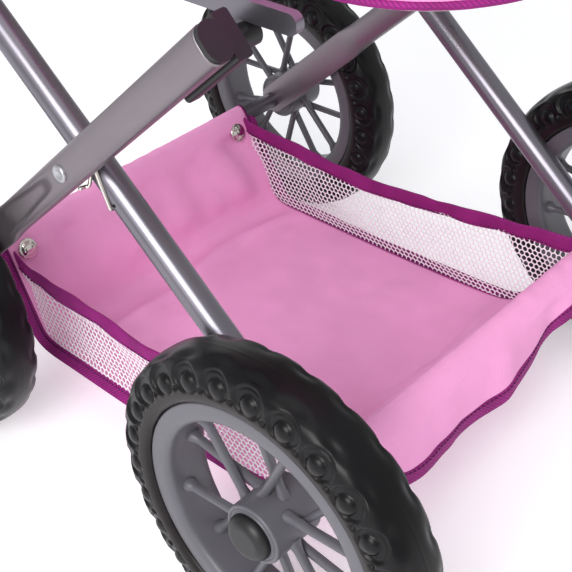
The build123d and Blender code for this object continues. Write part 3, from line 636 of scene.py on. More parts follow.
def rim_parts():
    """The wheel's moulded ring, hub, six crossing pairs of spokes and their bosses."""
    ring = [(72.8, 13.4), (72.0, 14.2), (66.0, 14.2), (62.6, 13.2), (61.0, 10.5), (60.6, 4.0)]
    ring = smooth_line(ring + [(r, -y) for r, y in reversed(ring)], 0.9)
    ring = np.vstack([ring, [(72.8, -13.0), (72.8, 13.0)]])
    hub = [(4.3, 16.0), (13.2, 16.0), (13.6, 15.2), (14.6, 15.2), (15.2, 16.0), (16.4, 15.8), (17.0, 15.0)]
    hub = np.array(hub + [(r, -y) for r, y in reversed(hub)])
    parts = []
    for profile, segments in ((ring, 160), (hub, 72)):
        points, _ = lathe_points(profile, segments)
        parts.append((points * MM, grid_faces(segments, len(profile), close_rows=True, close_columns=True)))
    for pair in range(6):
        for lean in (-1, 1):
            ends = []
            for radius, angle in ((15.0, pair * 60 + lean * 17), (62.5, pair * 60 - lean * 15)):
                turn = math.radians(angle)
                ends.append(np.array([radius * math.cos(turn), radius * math.sin(turn), lean * 2.75]))
            parts.append(spoke(*ends))
    return parts


def spoke(start, end):
    """An oval bar that swells into a boss where it meets the ring and the hub."""
    way = unit(end - start)
    side, up = np.cross(way, [0, 0, 1.0]), np.array([0, 0, 1.0])
    length = np.linalg.norm(end - start)
    turns = full_turn(SPOKE_SIDES)
    rings = []
    for share in (0.0, 0.03, 0.07, 0.13, 0.3, 0.5, 0.7, 0.85, 0.9, 0.93, 0.96, 1.0):
        swell = 1.0 + 0.5 * math.exp(-(share / 0.07) ** 2) + 0.65 * max(0.0, min(1.0, (share - 0.88) / 0.04))
        ring = side * np.cos(turns)[:, None] * 2.3 * swell + up * np.sin(turns)[:, None] * 2.7 * swell
        rings.append(start + way * length * share + ring)
    return np.array(rings) * MM, tube_faces(len(rings), SPOKE_SIDES)


# How far each wheel has rolled, in radians: tyres were pushed onto the rims at any angle.
WHEEL_TURNS = {"foam_tyre": {"front": 0.05, "rear": 0.11}, "spoked_rim": {"front": 0.56, "rear": 0.4}}


class STROLLER_OT_wheels(bpy.types.Operator):
    """Scalloped foam tyres and moulded rims with crossing spokes"""
    bl_idname = "stroller.wheels"
    bl_label = "Wheels"

    def execute(self, context):
        points, faces = tyre_mesh(context.scene.stroller_sizes.lobes)
        tyre = piece_from("foam_tyre_front_right", points, faces, "eva")
        rim = merged("spoked_rim_front_right", rim_parts(), "rim_plastic")
        edges = rim.modifiers.new("moulded edges", "BEVEL")
        edges.width, edges.segments, edges.limit_method = 0.35 * MM, 2, "ANGLE"
        for model, kind, node, slot in ((tyre, "foam_tyre", "tyre", "tyre_eva"),
                                        (rim, "spoked_rim", "rim", "wheel_plastic")):
            for end, axle in (("front", FRONT_AXLE), ("rear", REAR_AXLE)):
                for name, side in SIDES.items():
                    first = end == "front" and name == "right"
                    wheel = model if first else model.copy()
                    wheel.name = f"{kind}_{end}_{name}"
                    if not first:
                        context.scene.collection.objects.link(wheel)
                    place = Matrix.Translation((axle.x, side * WHEEL_Y, axle.z))
                    upright = Matrix.Rotation(-side * math.pi / 2, 4, "X")
                    rolled = Matrix.Rotation(WHEEL_TURNS[kind][end] * side, 4, "Z")
                    wheel.matrix_world = place @ upright @ rolled
                    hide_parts(f"{node}_{end}_{name}")
                    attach(wheel, f"wheel_{end}_{name}")
        return {"FINISHED"}


# ------------------------------------------------------------------ legs
LEG_SLOPE = math.atan2(PIVOT.z - REAR_AXLE.z, PIVOT.x - REAR_AXLE.x)
LEG_SIDES = 56
LEG_HALF_THICKNESS = 7.0
# (radius, height) in mm of a rivet head with a cupped middle.
RIVET_HEAD = [(0.0, 0.2), (1.6, 0.35), (2.6, 0.9), (3.6, 1.3), (4.6, 1.1), (5.0, 0.3), (5.0, -0.6)]


def leg_section(s):
    """Half-height and half-thickness of a leg in mm, s mm from the rear axle: a plate, then a flat oval."""
    flare = fade(s, 98, 124)
    half_height = 11.0 - 1.5 * flare
    if s < 0:
        half_height = math.sqrt(max(11.0 ** 2 - s ** 2, 0.3))
    return half_height, 2.0 + (LEG_HALF_THICKNESS - 2.0) * flare


def pressed_depth(s, height):
    """The long dish pressed into the leg's outer face, tapering up to the crossing's rivet."""
    along = fade(s, 96, 116) * fade(190 - s, 0, 20)
    reach = 8.6 - 3.4 * fade(s, 112, 184)
    across = fade(reach - abs(height - 0.6), 0, 3.6)
    return 3.4 * along * across


def leg_mesh(side, length, middle):
    """A leg as a closed skin, in metres: middle is the side position of its axis."""
    rise, run = math.sin(LEG_SLOPE), math.cos(LEG_SLOPE)
    stations = np.concatenate([np.linspace(-11, 0, 12)[:-1], np.linspace(0, length, 190)])
    turns = full_turn(LEG_SIDES)
    points = []
    for s in stations:
        high, thick = leg_section(s)
        for turn in turns:
            c, t = math.cos(turn), math.sin(turn)
            height = high * math.copysign(abs(c) ** 0.78, c)
            out = thick * math.copysign(abs(t) ** 0.6, t)
            if t > 0:
                out -= pressed_depth(s, height) * min(1.0, 3 * t)
            points.append((REAR_AXLE.x / MM + s * run - height * rise, side * (middle + out),
                           REAR_AXLE.z / MM + s * rise + height * run))
    return np.array(points) * MM, tube_faces(len(stations), LEG_SIDES)


class STROLLER_OT_legs(bpy.types.Operator):
    """Flat-oval legs with pressed lower ends, and the flush rivets of the crossing"""
    bl_idname = "stroller.legs"
    bl_label = "Legs"

    def execute(self, context):
        low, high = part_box("leg_tube_left")
        middle = (low.y + high.y) / 2 / MM
        # The end is cut square, and its upper corner reaches the top of the leg's box.
        length = (high.z - REAR_AXLE.z) / MM / math.sin(LEG_SLOPE) - 9.5 / math.tan(LEG_SLOPE)
        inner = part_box("push_tube_left")[0].y / MM
        rivets = []
        for name, side in SIDES.items():
            leg = piece_from(f"pressed_leg_{name}", *leg_mesh(side, length, middle), "leg_coat")
            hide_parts(f"leg_tube_{name}")
            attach(leg, "leg_frame")
            for face, way in ((middle + LEG_HALF_THICKNESS, 1), (inner, -1)):
                points, faces = lathe_points(RIVET_HEAD, 40)
                flat = points.reshape(-1, 3)
                flat = np.column_stack([flat[:, 0], side * way * flat[:, 2], flat[:, 1]])
                rivets.append(((flat + [PIVOT.x / MM, side * face, PIVOT.z / MM]) * MM, faces))
        heads = merged("crossing_rivet_heads", rivets, "zinc")
        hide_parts("pivot_rivets")
        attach(heads, "push_frame")
        return {"FINISHED"}


# ------------------------------------------------------------------ basket
# The cloth strip's line in the middle plane, (x, z) in mm: from the flap behind the rear cross tube,
# down and along the floor, and over the front cross tube.
STRIP = [(-157.4, 66), (-159.6, 84), (-158.6, 98), (-151, 105.6), (-143.8, 98.5), (-137.5, 84), (-126, 60),
         (-120.5, 43.5), (-111, 34.5), (-80, 33), (0, 32), (75, 33.5), (100, 37.5), (110, 47), (118, 58),
         (134, 84), (143.6, 99), (151, 106.2), (159.4, 98.5), (161.5, 84)]
FLAP_TOP = 84.0
# The net walls reach this far fore and aft, in mm.
NET_REACH = 141
STITCH_GAP = 0.8 * MM
HEM_WIDTH = 11.5 * MM


def strip_half_width(x):
    """Half the strip's width: narrower at the rear, wider at the front."""
    return np.interp(x, [-160, -120, -60, 90, 120, 160], [113, 114.5, 115, 116.5, 120, 122])


def flap_edge(y):
    """Height of the front flap's wavy lower edge."""
    return np.interp(y, [-122, -104, -80, -50, -17, 0, 20, 44, 64, 82, 104, 122],
                     [80, 66, 57, 58, 55, 58, 62.5, 62, 66, 73, 82, 92])


def strip_line():
    """The strip's middle line, evenly spaced, with its normals that point down and outward."""
    line = smooth_line(STRIP, 2.4)
    ahead = unit(np.gradient(line, axis=0))
    return line, np.stack([ahead[:, 1], -ahead[:, 0]], axis=1)


def strip_point(line, normal, k, share):
    """A point of the cloth strip, in mm: station k along it and share -1 to 1 across it."""
    x, z = line[k]
    y = share * strip_half_width(x)
    inner = 1 - abs(share) ** 8
    low = soft_noise((x, y, z), 46.0, 3.0) * 2.2 + soft_noise((x, y, z), 17.0, 5.0) * 0.9
    on_floor = fade(60 - z, 0, 14)
    low += on_floor * soft_noise((x + 0.5 * y, 0.3 * y - 0.2 * x, z), 30.0, 8.0) * 2.6
    # Soft creases run across the floor where the strip turns up, and up the rear panel.
    low -= 3.0 * math.exp(-((x + 97 + 5 * math.sin(y / 31)) / 5.0) ** 2) * on_floor
    low -= 2.6 * math.exp(-((x - 98 - 4 * math.sin(y / 23)) / 5.0) ** 2) * on_floor
    rear = fade(-x, 112, 122) * fade(z, 40, 60) * fade(100 - z, 0, 8)
    hang = 2.2 * math.sin(y / 8.5 + 0.03 * z) * math.exp(-((abs(y) - 84) / 30) ** 2)
    low += rear * (hang + 2.4 * soft_noise((x, y, 0.25 * z), 21.0, 12.0))
    front = fade(x, 104, 116) * fade(z, 42, 58) * fade(104 - z, 0, 8)
    low += front * (1.6 * math.sin(y / 13.0 + 0.03 * z) + 1.8 * soft_noise((x, y, z), 22.0, 13.0))
    for side in (-1, 1):
        low += 3.0 * math.exp(-(((y - side * 100) / 14) ** 2 + ((z - 87) / 11) ** 2)) * (-151 < x < -130)
    over_tube = fade(z, 99, 104)
    offset = low * inner * (1 - fade(z, 90, 97.5))
    ruffle = over_tube * (0.9 + 1.6 * abs(soft_noise((0, y, 0), 15.0, 21.0 + (x > 0))))
    # The net pulls the strip's right edge up a little.
    point = np.array([x, y, z + ruffle + 4.5 * fade(-share, 0.84, 1.0) * on_floor])
    point[0] += normal[k, 0] * offset
    point[2] += normal[k, 1] * offset
    if x > 151 and z <= FLAP_TOP + 20:
        reach = (FLAP_TOP + 20 - z) / 20
        point[0] += reach * (1.3 * math.sin(y / 14.0 + 0.6) + 0.7 * math.sin(y / 6.1))
    if x < -151 and z < 98:
        point[0] += (98 - z) / 32 * 1.6 * math.sin(y / 17.0)
    return point


def strip_grid():
    """The whole cloth strip as a grid of points in mm, its front flap drawn down to the wavy edge."""
    line, normal = strip_line()
    shares = np.linspace(-1, 1, 97)
    rows = [[strip_point(line, normal, k, share) for share in shares] for k in range(len(line))]
    last = np.array(rows[-1])
    for step in np.linspace(0, 1, 13)[1:]:
        edge = flap_edge(last[:, 1])
        row = last.copy()
        row[:, 2] = last[:, 2] + (edge - last[:, 2]) * step
        row[:, 0] += step * (1.5 * np.sin(last[:, 1] / 12.5) + 1.2) - step ** 2 * 1.8
        rows.append(list(row))
    return np.array(rows, float)


def net_top(x, side):
    """Height of the net's upper edge, slack between the two tubes and a little lower on the right."""
    if side > 0:
        return np.interp(x, [-148, -137, -116, -93, -60, -30, 34, 90, 136, 148],
                         [97, 93, 90.5, 89, 85, 82, 86, 91.5, 96, 100])
    return np.interp(x, [-148, -125, -100, -74, -50, -8, 34, 90, 136, 148],
                     [91.5, 84, 83.5, 84.5, 84.5, 83, 86, 91, 96, 100])


def net_y(x, z, side):
    """The net wall's side position between the strip's edge and the top tape."""
    low = strip_half_width(x) + 0.4
    high = np.interp(x, [-150, 0, 150], [110, 116.5, 122])
    share = np.clip((z - 33) / (net_top(x, side) - 33), 0, 1)
    return side * (low + (high - low) * share)


def net_wall(side, sizes):
    """A wall of knitted net: a honeycomb of holes cut to the side's outline, with gathers."""
    pitch, strand = sizes.mesh_pitch / MM, sizes.mesh_strand / MM
    line, _ = strip_line()
    edge_x, edge_z = line[:, 0], line[:, 1]
    inside = (edge_x > -144.5) & (edge_x < 144.5) & (edge_z < 106)
    floor_x, floor_z = edge_x[inside], edge_z[inside]
    row_step = pitch * math.sqrt(3) / 2
    corners = np.radians(np.arange(6) * 60 + 30)
    outer = np.stack([np.cos(corners), np.sin(corners)], axis=1) * pitch / math.sqrt(3)
    hole = np.radians(np.arange(12) * 30)
    inner = np.stack([np.cos(hole), np.sin(hole)], axis=1) * (pitch - strand) / 2
    inner *= (1 + 0.06 * np.cos(6 * (hole - math.pi / 6)))[:, None]
    points, faces, known = [], [], {}
    for row in range(-2, int(115 / row_step)):
        for column in range(int(-150 / pitch), int(150 / pitch)):
            x = (column + 0.5 * (row % 2)) * pitch
            z = row * row_step
            low = np.interp(x, floor_x, floor_z) - 1.5 * side
            if abs(x) > NET_REACH or not low < z < net_top(x, side) + 0.5:
                continue
            ring = []
            for dx, dz in outer:
                key = (round((x + dx) * 10), round((z + dz) * 10))
                if key not in known:
                    known[key] = len(points)
                    points.append((x + dx, z + dz))
                ring.append(known[key])
            first = len(points)
            points += [(x + dx, z + dz) for dx, dz in inner]
            for k in range(6):
                a, b = ring[k], ring[(k + 1) % 6]
                p = [first + (2 * k + 1 + n) % 12 for n in range(3)]
                faces += [(a, p[1], p[0]), (a, b, p[1]), (b, p[2], p[1])]
    solid = []
    for x, z in points:
        y = net_y(x, z, side)
        top = fade(z, net_top(x, side) - 26, net_top(x, side))
        free = fade(net_top(x, side) - z, 4.0, 13.0)
        gather = 1.8 * math.sin((x + 1.1 * z) / 7.5) * math.exp(-((x + 112) / 26) ** 2) * top * free
        slack = 1.9 * soft_noise((x, side * 40, z), 34.0, 17.0)
        slack += 0.8 * soft_noise((x, side * 9, z), 12.0, 29.0)
        middle = fade(z, 33, 46) * free
        solid.append((x, y + side * (gather + slack * middle - 1.8 * middle), z))
    return np.array(solid) * MM, faces


def strip_edge(rows, side):
    """The strip's side edge and the way the width of its seam tape runs at each point."""
    edge = rows[:, -1 if side > 0 else 0]
    ahead = unit(np.gradient(edge, axis=0))
    out = unit(np.stack([ahead[:, 2], np.zeros(len(edge)), -ahead[:, 0]], axis=1))
    wander = np.array([soft_noise(p, 24.0, 31.0 + side) for p in edge])
    # The tape lies out and down under the right side, out and up under the left one, and up over the tubes.
    lean = np.interp(edge[:, 2], [45, 62, 92, 101], [-0.45 if side > 0 else 1.05, 0.1, 0.1, 0.8])
    sideways = np.outer(0.85 + 0.2 * wander, [0, side, 0.0])
    width_way = unit(sideways + out * (lean + 0.25 * wander)[:, None])
    return edge, width_way


class STROLLER_OT_basket(bpy.types.Operator):
    """Cloth strip, net walls, binding tapes and stitches of the basket"""
    bl_idname = "stroller.basket"
    bl_label = "Basket"

    def execute(self, context):
        sizes = context.scene.stroller_sizes
        made = []
        rows = strip_grid()
        along = arc_lengths(rows[:, rows.shape[1] // 2]) * MM
        uvs = np.stack([np.broadcast_to(along[:, None], rows.shape[:2]), rows[..., 1] * MM], axis=-1)
        strip = piece_from("basket_cloth", rows * MM, grid_faces(*rows.shape[:2]), "pink_polyester", uvs)
        thicken(strip, sizes.cloth_thickness * 1.6)
        made.append(strip)
        self.net_and_tapes(sizes, rows, made)
        for name, row in (("rear", rows[0]), ("front", rows[-1])):
            line = smooth_line(row[::4], 3.0)
            across = np.tile([0, 0, 1.0], (len(line), 1))
            out = np.tile([1.0 if name == "front" else -1.0, 0, 0], (len(line), 1))
            made.append(ribbon(f"basket_{name}_flap_tape", (line + [0, 0, 2.6]) * MM, across, out, HEM_WIDTH,
                               3.4 * MM))
            seam = line + [0, 0, 6.4] + out * 1.9
            made.append(stitches(f"basket_{name}_flap_stitches", seam * MM, out, sizes.stitch_length,
                                 STITCH_GAP))
        for piece in made:
            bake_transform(piece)
        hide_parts("basket_front", "basket_rear")
        return {"FINISHED"}

    def net_and_tapes(self, sizes, rows, made):
        """Both net walls, their top tapes and the seam tapes along the strip, added to what is made."""
        for name, side in SIDES.items():
            points, faces = net_wall(side, sizes)
            net = piece_from(f"basket_net_{name}", points, faces, "net", smooth=False)
            thicken(net, 0.45 * MM)
            made.append(net)
            x = np.linspace(-143, 144, 96)
            top = net_top(x, side)
            z = top + [0.9 * soft_noise((v, side, 0), 18.0, 41.0) for v in x]
            y = net_y(x, top, side) + [side * soft_noise((v, side, 4), 20.0, 43.0) for v in x]
            line = np.stack([x, y, z], axis=1)
            across = np.array([[0, 0.25 * soft_noise((v, side, 9), 25.0, 47.0), 1.0] for v in x])
            out = np.tile([0, float(side), 0], (len(x), 1))
            made.append(ribbon(f"basket_top_tape_{name}", line * MM, across, out, HEM_WIDTH, 2.0 * MM))
            for where, face in (("out", 1), ("in", -1)):
                seam = line - [0, 0, 3.7] + out * face * 1.15
                made.append(stitches(f"basket_top_stitches_{name}_{where}", seam * MM, out * face,
                                     sizes.stitch_length, STITCH_GAP))
            edge, width_way = strip_edge(rows, side)
            line = smooth_line(edge[::2], 2.5)
            here, known = np.linspace(0, 1, len(line)), np.linspace(0, 1, len(edge))
            ways = np.stack([np.interp(here, known, width_way[:, k]) for k in range(3)], axis=1)
            forward = unit(np.gradient(line, axis=0))
            ways = unit(ways - forward * (ways * forward).sum(1, keepdims=True))
            out = np.cross(forward, ways) * side
            centre = line + ways * (sizes.tape_width / MM * 0.42)
            made.append(ribbon(f"basket_seam_tape_{name}", centre * MM, ways, out, sizes.tape_width,
                               sizes.tape_thickness))
            for where, face in (("out", 1), ("in", -1)):
                seam = line + ways * 1.2 + out * face * 0.85
                made.append(stitches(f"basket_seam_stitches_{name}_{where}", seam * MM, out * face,
                                     sizes.stitch_length, STITCH_GAP))


# ------------------------------------------------------------------ small metal parts
# (radius, height) in mm of a domed press stud, before it is scaled.
STUD_PROFILE = [(6.3, -0.6), (6.5, 0.1), (6.3, 0.7), (5.7, 1.0), (5.2, 0.85), (4.7, 1.2), (3.9, 1.9),
                (2.7, 2.45), (1.3, 2.7), (0.0, 2.75)]
STUD_SCALE, STUD_SIDE, STUD_HEIGHT = 1.08, 100, 92.3


class STROLLER_OT_fittings(bpy.types.Operator):
    """Press studs of the rear panel and wire springs at the crossing"""
    bl_idname = "stroller.fittings"
    bl_label = "Press studs and springs"

    def execute(self, context):
        studs = []
        line, normal = strip_line()
        # The station at the studs' height on the rear panel, not on the flap behind it.
        on_panel = [k for k in range(len(line)) if abs(line[k][0] + 141) <= 6]
        at = min(on_panel, key=lambda k: abs(line[k][1] - STUD_HEIGHT))
        for side in SIDES.values():
            share = side * STUD_SIDE / strip_half_width(line[at][0])
            place = Vector(strip_point(line, normal, at, share)) * MM
            facing = Vector((-normal[at][0], 0.06 * side, -normal[at][1])).normalized()
            points, faces = lathe_points(STUD_SCALE * np.array(STUD_PROFILE), 48)
            turn = facing.to_track_quat("Z", "Y").to_matrix()
            flat = points.reshape(-1, 3) * MM @ np.array(turn).T + np.array(place + facing * 1.7 * MM)
            studs.append((flat, faces))
        stud = merged("press_studs", studs, "nickel")
        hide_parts("basket_snaps")
        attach(stud, "leg_frame")
        slope = math.atan2(PIVOT.z - FRONT_AXLE.z, FRONT_AXLE.x - PIVOT.x)
        # Down along the push tube and square to it; up along the leg and square to it.
        down = Vector((math.cos(slope), 0, -math.sin(slope)))
        under = Vector((-math.sin(slope), 0, -math.cos(slope)))
        rise = Vector((math.cos(slope), 0, math.sin(slope)))
        below = Vector((math.sin(slope), 0, -math.cos(slope)))
        outer_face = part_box("push_tube_left")[1].y
        leg_middle = sum(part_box("leg_tube_left")[k].y for k in (0, 1)) / 2
        for name, side in SIDES.items():
            hole = PIVOT + down * 27.8 * MM + under * 3.5 * MM
            corner = PIVOT + rise * 7.1 * MM + below * 6.2 * MM
            hook = PIVOT - rise * 3.0 * MM + below * 11.0 * MM
            # The rod leaves the hole, runs up along the tube's lower side and turns back under the leg.
            places = [hole, hole, *[hole.lerp(corner, t) for t in (0.1, 0.5, 0.9)], corner,
                      corner.lerp(hook, 0.5) - below * 1.0 * MM, hook + below * 0.6 * MM,
                      hook - rise * 1.8 * MM]
            depth = (-5.0, 0.3, 0.6, 0.4, 0.2, 0.2, 0.6, 2.0, 4.0)
            route = [(place.x, side * (outer_face + out * MM), place.z) for place, out in zip(places, depth)]
            route.append((hook.x, side * leg_middle, hook.z))
            wire = round_bar(f"pivot_spring_{name}", smooth_line(route, 0.7 * MM), 1.1 * MM, "nickel", 14)
            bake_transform(wire)
            if side > 0:
                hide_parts("pivot_springs")
        return {"FINISHED"}


# ------------------------------------------------------------------ carrycot
# The rim's outside length, width and corner radius in mm, as in the frame, and how far the base is drawn in.
COT_LENGTH, COT_WIDTH, COT_CORNER = 424.0, 222.0, 82.0
COT_TAPER = 9.0
BASE_Z, RIM_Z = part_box("cot_shell")[0].z / MM, RIM_LOW.z / MM
RIM_TUBE = (RIM_HIGH.z - RIM_LOW.z) / 2 / MM
# The mattress: rings on its top, points in a ring, inset of the innermost ring and pitch of the quilting.
TOP_RINGS, RING_POINTS, CENTRE_INSET, QUILT_PITCH = 84, 640, 109.5, 34


def outline(inset, count=300):
    """The carrycot's outline drawn in by inset, as evenly spaced (x, y) in mm, with outward normals."""
    corner = max(COT_CORNER - inset, 1.0)
    reach_x, reach_y = COT_LENGTH / 2 - inset - corner, COT_WIDTH / 2 - inset - corner
    turns = np.radians(np.arange(0, 91, 5))
    loop = []
    for k, (sx, sy) in enumerate(((1, 1), (-1, 1), (-1, -1), (1, -1))):
        for turn in turns + k * math.pi / 2:
            loop.append((sx * reach_x + corner * math.cos(turn), sy * reach_y + corner * math.sin(turn)))
    loop.append(loop[0])
    loop = even(loop, arc_lengths(loop)[-1] / count)[:-1]
    ahead = unit(np.roll(loop, -1, axis=0) - np.roll(loop, 1, axis=0))
    return loop, np.stack([ahead[:, 1], -ahead[:, 0]], axis=1)


def no_ripple(point, share):
    """The ripple of a plain ring."""
    return 0.0


def ring_rows(levels, ripple, count=300):
    """Rings of points in mm at (inset, z) levels, each pushed outward by ripple(point, level share)."""
    rows = []
    for k, (inset, z) in enumerate(levels):
        loop, normal = outline(inset, count)
        share = k / (len(levels) - 1)
        push = np.array([ripple((x, y, z), share) for x, y in loop])
        flat = loop + normal * push[:, None]
        rows.append(np.column_stack([flat, np.full(len(flat), z)]))
    return np.array(rows)


def ring_piece(name, rows, finish, cap=False):
    """A piece of closed rings of points in mm, with its first ring filled if it has a cap."""
    count = rows.shape[1]
    faces = grid_faces(rows.shape[0], count, close_columns=True)
    if cap:
        faces.append(tuple(range(count))[::-1])
    along = arc_lengths(np.vstack([rows[-1], rows[-1][:1]]))[:-1]
    up = arc_lengths(rows[:, 0])
    uvs = np.stack(np.broadcast_arrays(along[None, :], up[:, None]), axis=-1) * MM
    return piece_from(name, rows * MM, faces, finish, uvs)


def loop_bar(name, inset, z, radius, pucker, seed):
    """A sleeve or piping of binding tape that follows the carrycot's outline; sizes in mm."""
    loop, _ = outline(inset, 360)
    line = np.column_stack([loop, np.full(len(loop), z)])
    girth = np.array([radius + pucker * soft_noise(p, 9.0, seed) for p in line])
    ahead = unit(np.roll(line, -1, axis=0) - np.roll(line, 1, axis=0))
    side = np.cross(ahead, [0, 0, 1.0])
    turns = full_turn(16)
    upright = np.array([0, 0, 1.0])
    ring = side[:, None, :] * np.cos(turns)[None, :, None] + upright * np.sin(turns)[None, :, None]
    points = line[:, None, :] + ring * girth[:, None, None]
    along = arc_lengths(line)
    uvs = np.stack(np.broadcast_arrays(along[:, None], (turns * radius)[None, :]), axis=-1) * MM
    faces = grid_faces(len(line), len(turns), close_rows=True, close_columns=True)
    return piece_from(name, points * MM, faces, "binding_tape", uvs)


class STROLLER_OT_carrycot(bpy.types.Operator):
    """Fabric carrycot: wall, floor, lining, rim sleeve, piping and stitches"""
    bl_idname = "stroller.carrycot"
    bl_label = "Carrycot"

    def execute(self, context):
        sizes = context.scene.stroller_sizes

        def outer_ripple(p, share):
            tall = math.sin(math.pi * min(max(share, 0), 1))
            folds = 0.9 * soft_noise((p[0], p[1], 0.35 * p[2]), 30.0, 51.0) + 0.4 * soft_noise(p, 13.0, 53.0)
            tucks = 0.5 * math.sin(math.atan2(p[1], p[0]) * 74) * math.exp(-((1 - share) / 0.12) ** 2)
            return tall * (1.4 + folds) + tucks

        def inner_ripple(p, share):
            tall = math.sin(math.pi * min(max(share, 0), 1))
            return -tall * (0.9 + 0.8 * soft_noise((p[0], p[1], 0.4 * p[2]), 24.0, 57.0))

        levels = [(COT_TAPER * (1 - t), BASE_Z + 0.8 + t * (RIM_Z - BASE_Z + 1.4))
                  for t in np.linspace(0, 1, 34)]
        wall = ring_piece("carrycot_wall", ring_rows(levels, outer_ripple), "pink_polyester")
        thicken(wall, sizes.cloth_thickness * 1.6)
        levels = [(inset, BASE_Z + 0.9) for inset in np.linspace(104, COT_TAPER + 0.2, 16)]
        floor = ring_piece("carrycot_floor", ring_rows(levels, no_ripple), "pink_polyester", cap=True)
        thicken(floor, sizes.cloth_thickness * 1.6)
        levels = [(COT_TAPER + 3 - t * (COT_TAPER - 0.4), BASE_Z + 4.5 + t * (RIM_Z - BASE_Z - 3))
                  for t in np.linspace(0, 1, 30)]
        lining = ring_piece("carrycot_lining", ring_rows(levels, inner_ripple), "lining_cotton")
        thicken(lining, sizes.cloth_thickness * 1.6)
        sleeve = loop_bar("carrycot_rim_sleeve", RIM_TUBE, RIM_Z + RIM_TUBE, RIM_TUBE + 1.0, 0.35, 61.0)
        piping = loop_bar("carrycot_base_piping", COT_TAPER - 0.6, BASE_Z + 1.6, 1.9, 0.15, 63.0)
        seam, normal = outline(-0.5, 360)
        line = np.column_stack([seam, np.full(len(seam), RIM_Z - 3.2)])
        out = np.column_stack([normal, np.zeros(len(normal))])
        sewn = stitches("carrycot_rim_stitches", np.vstack([line, line[:1]]) * MM, np.vstack([out, out[:1]]),
                        sizes.stitch_length, 0.9 * MM)
        for piece, slot in ((wall, "pink_fabric"), (floor, "pink_fabric"), (lining, "mattress_fabric"),
                            (sleeve, "binding"), (piping, "binding"), (sewn, "binding")):
            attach(piece, "cot")
        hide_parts("cot_shell")
        self.mattress()
        return {"FINISHED"}

    def mattress(self):
        """A quilted pad with rounded sides, and the piping round it."""
        low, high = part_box("mattress")
        bottom, top = low.z / MM + 0.6, high.z / MM
        edge = (COT_LENGTH - (high.x - low.x) / MM) / 2
        levels = []
        for t in np.linspace(0, 1, TOP_RINGS):
            inset = CENTRE_INSET + (edge + 2.2 - CENTRE_INSET) * t
            levels.append((inset, top + 1.5 - 4.5 * t ** 3))
        for turn in np.radians(np.linspace(60, -90, 14)):
            levels.append((edge + 3.2 - 3.2 * math.cos(turn), (top + bottom) / 2 - 1
                           + ((top - bottom) / 2 - 1.6) * math.sin(turn)))
        for inset in np.linspace(edge + 6, CENTRE_INSET, 8):
            levels.append((inset, bottom))
        rows = ring_rows(levels, no_ripple, RING_POINTS)
        for k in range(TOP_RINGS):
            edge_calm = fade(levels[k][0], edge + 2, edge + 12)
            for point in rows[k]:
                dips = 0.0
                for way in (1, -1):
                    gap = (point[0] + way * point[1] + QUILT_PITCH / 2) % QUILT_PITCH - QUILT_PITCH / 2
                    dips += 2.2 * math.exp(-(gap / 2.6) ** 2)
                point[2] += edge_calm * (0.8 - dips + 0.5 * soft_noise(point, 20.0, 71.0))
        pad = ring_piece("quilted_mattress", rows, "lining_cotton", cap=True)
        cap = bmesh.new()
        cap.from_mesh(pad.data)
        cap.verts.ensure_lookup_table()
        cap.faces.new([cap.verts[(len(levels) - 1) * RING_POINTS + k] for k in range(RING_POINTS)])
        bmesh.ops.recalc_face_normals(cap, faces=cap.faces)
        cap.to_mesh(pad.data)
        cap.free()
        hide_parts("mattress")
        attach(pad, "cot")
        piping = loop_bar("mattress_piping", edge + 0.6, (top + bottom) / 2 + 2, 1.4, 0.1, 73.0)
        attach(piping, "cot")


# ------------------------------------------------------------------ hood
# Angles in degrees of the front bow, the rear bow and the canopy's rear edge; 0 is forward and 90 up.
HOOD_FRONT, HOOD_MIDDLE, HOOD_BACK = 52.0, 112.0, 177.0
# Distance in mm of the canopy's feet from the hood's axis.
HOOD_FOOT = 9.0


def hood_section(angle):
    """Radius, half-width and corner of the canopy at an angle about its axis; 0 is forward, 90 up."""
    radius = np.interp(angle, [HOOD_FRONT, HOOD_MIDDLE, 150, HOOD_BACK], [148.4, 144.6, 139, 121.5])
    width = np.interp(angle, [HOOD_FRONT, HOOD_MIDDLE, HOOD_BACK], [119.6, 116.2, 112.0])
    corner = np.interp(angle, [HOOD_FRONT, HOOD_MIDDLE, HOOD_BACK], [60, 62, 82])
    return radius, width, corner


def hood_outline(radius, width, corner, count):
    """Evenly spaced (r, y) from one foot over the top to the other, with the share along it."""
    turns = np.radians(np.arange(0, 91, 6))
    line = [(HOOD_FOOT, -width)]
    line += [(radius - corner + corner * math.sin(t), -width + corner - corner * math.cos(t)) for t in turns]
    line += [(r, -y) for r, y in reversed(line)]
    line = np.array(line)
    return even(line, arc_lengths(line)[-1] / (count - 1))


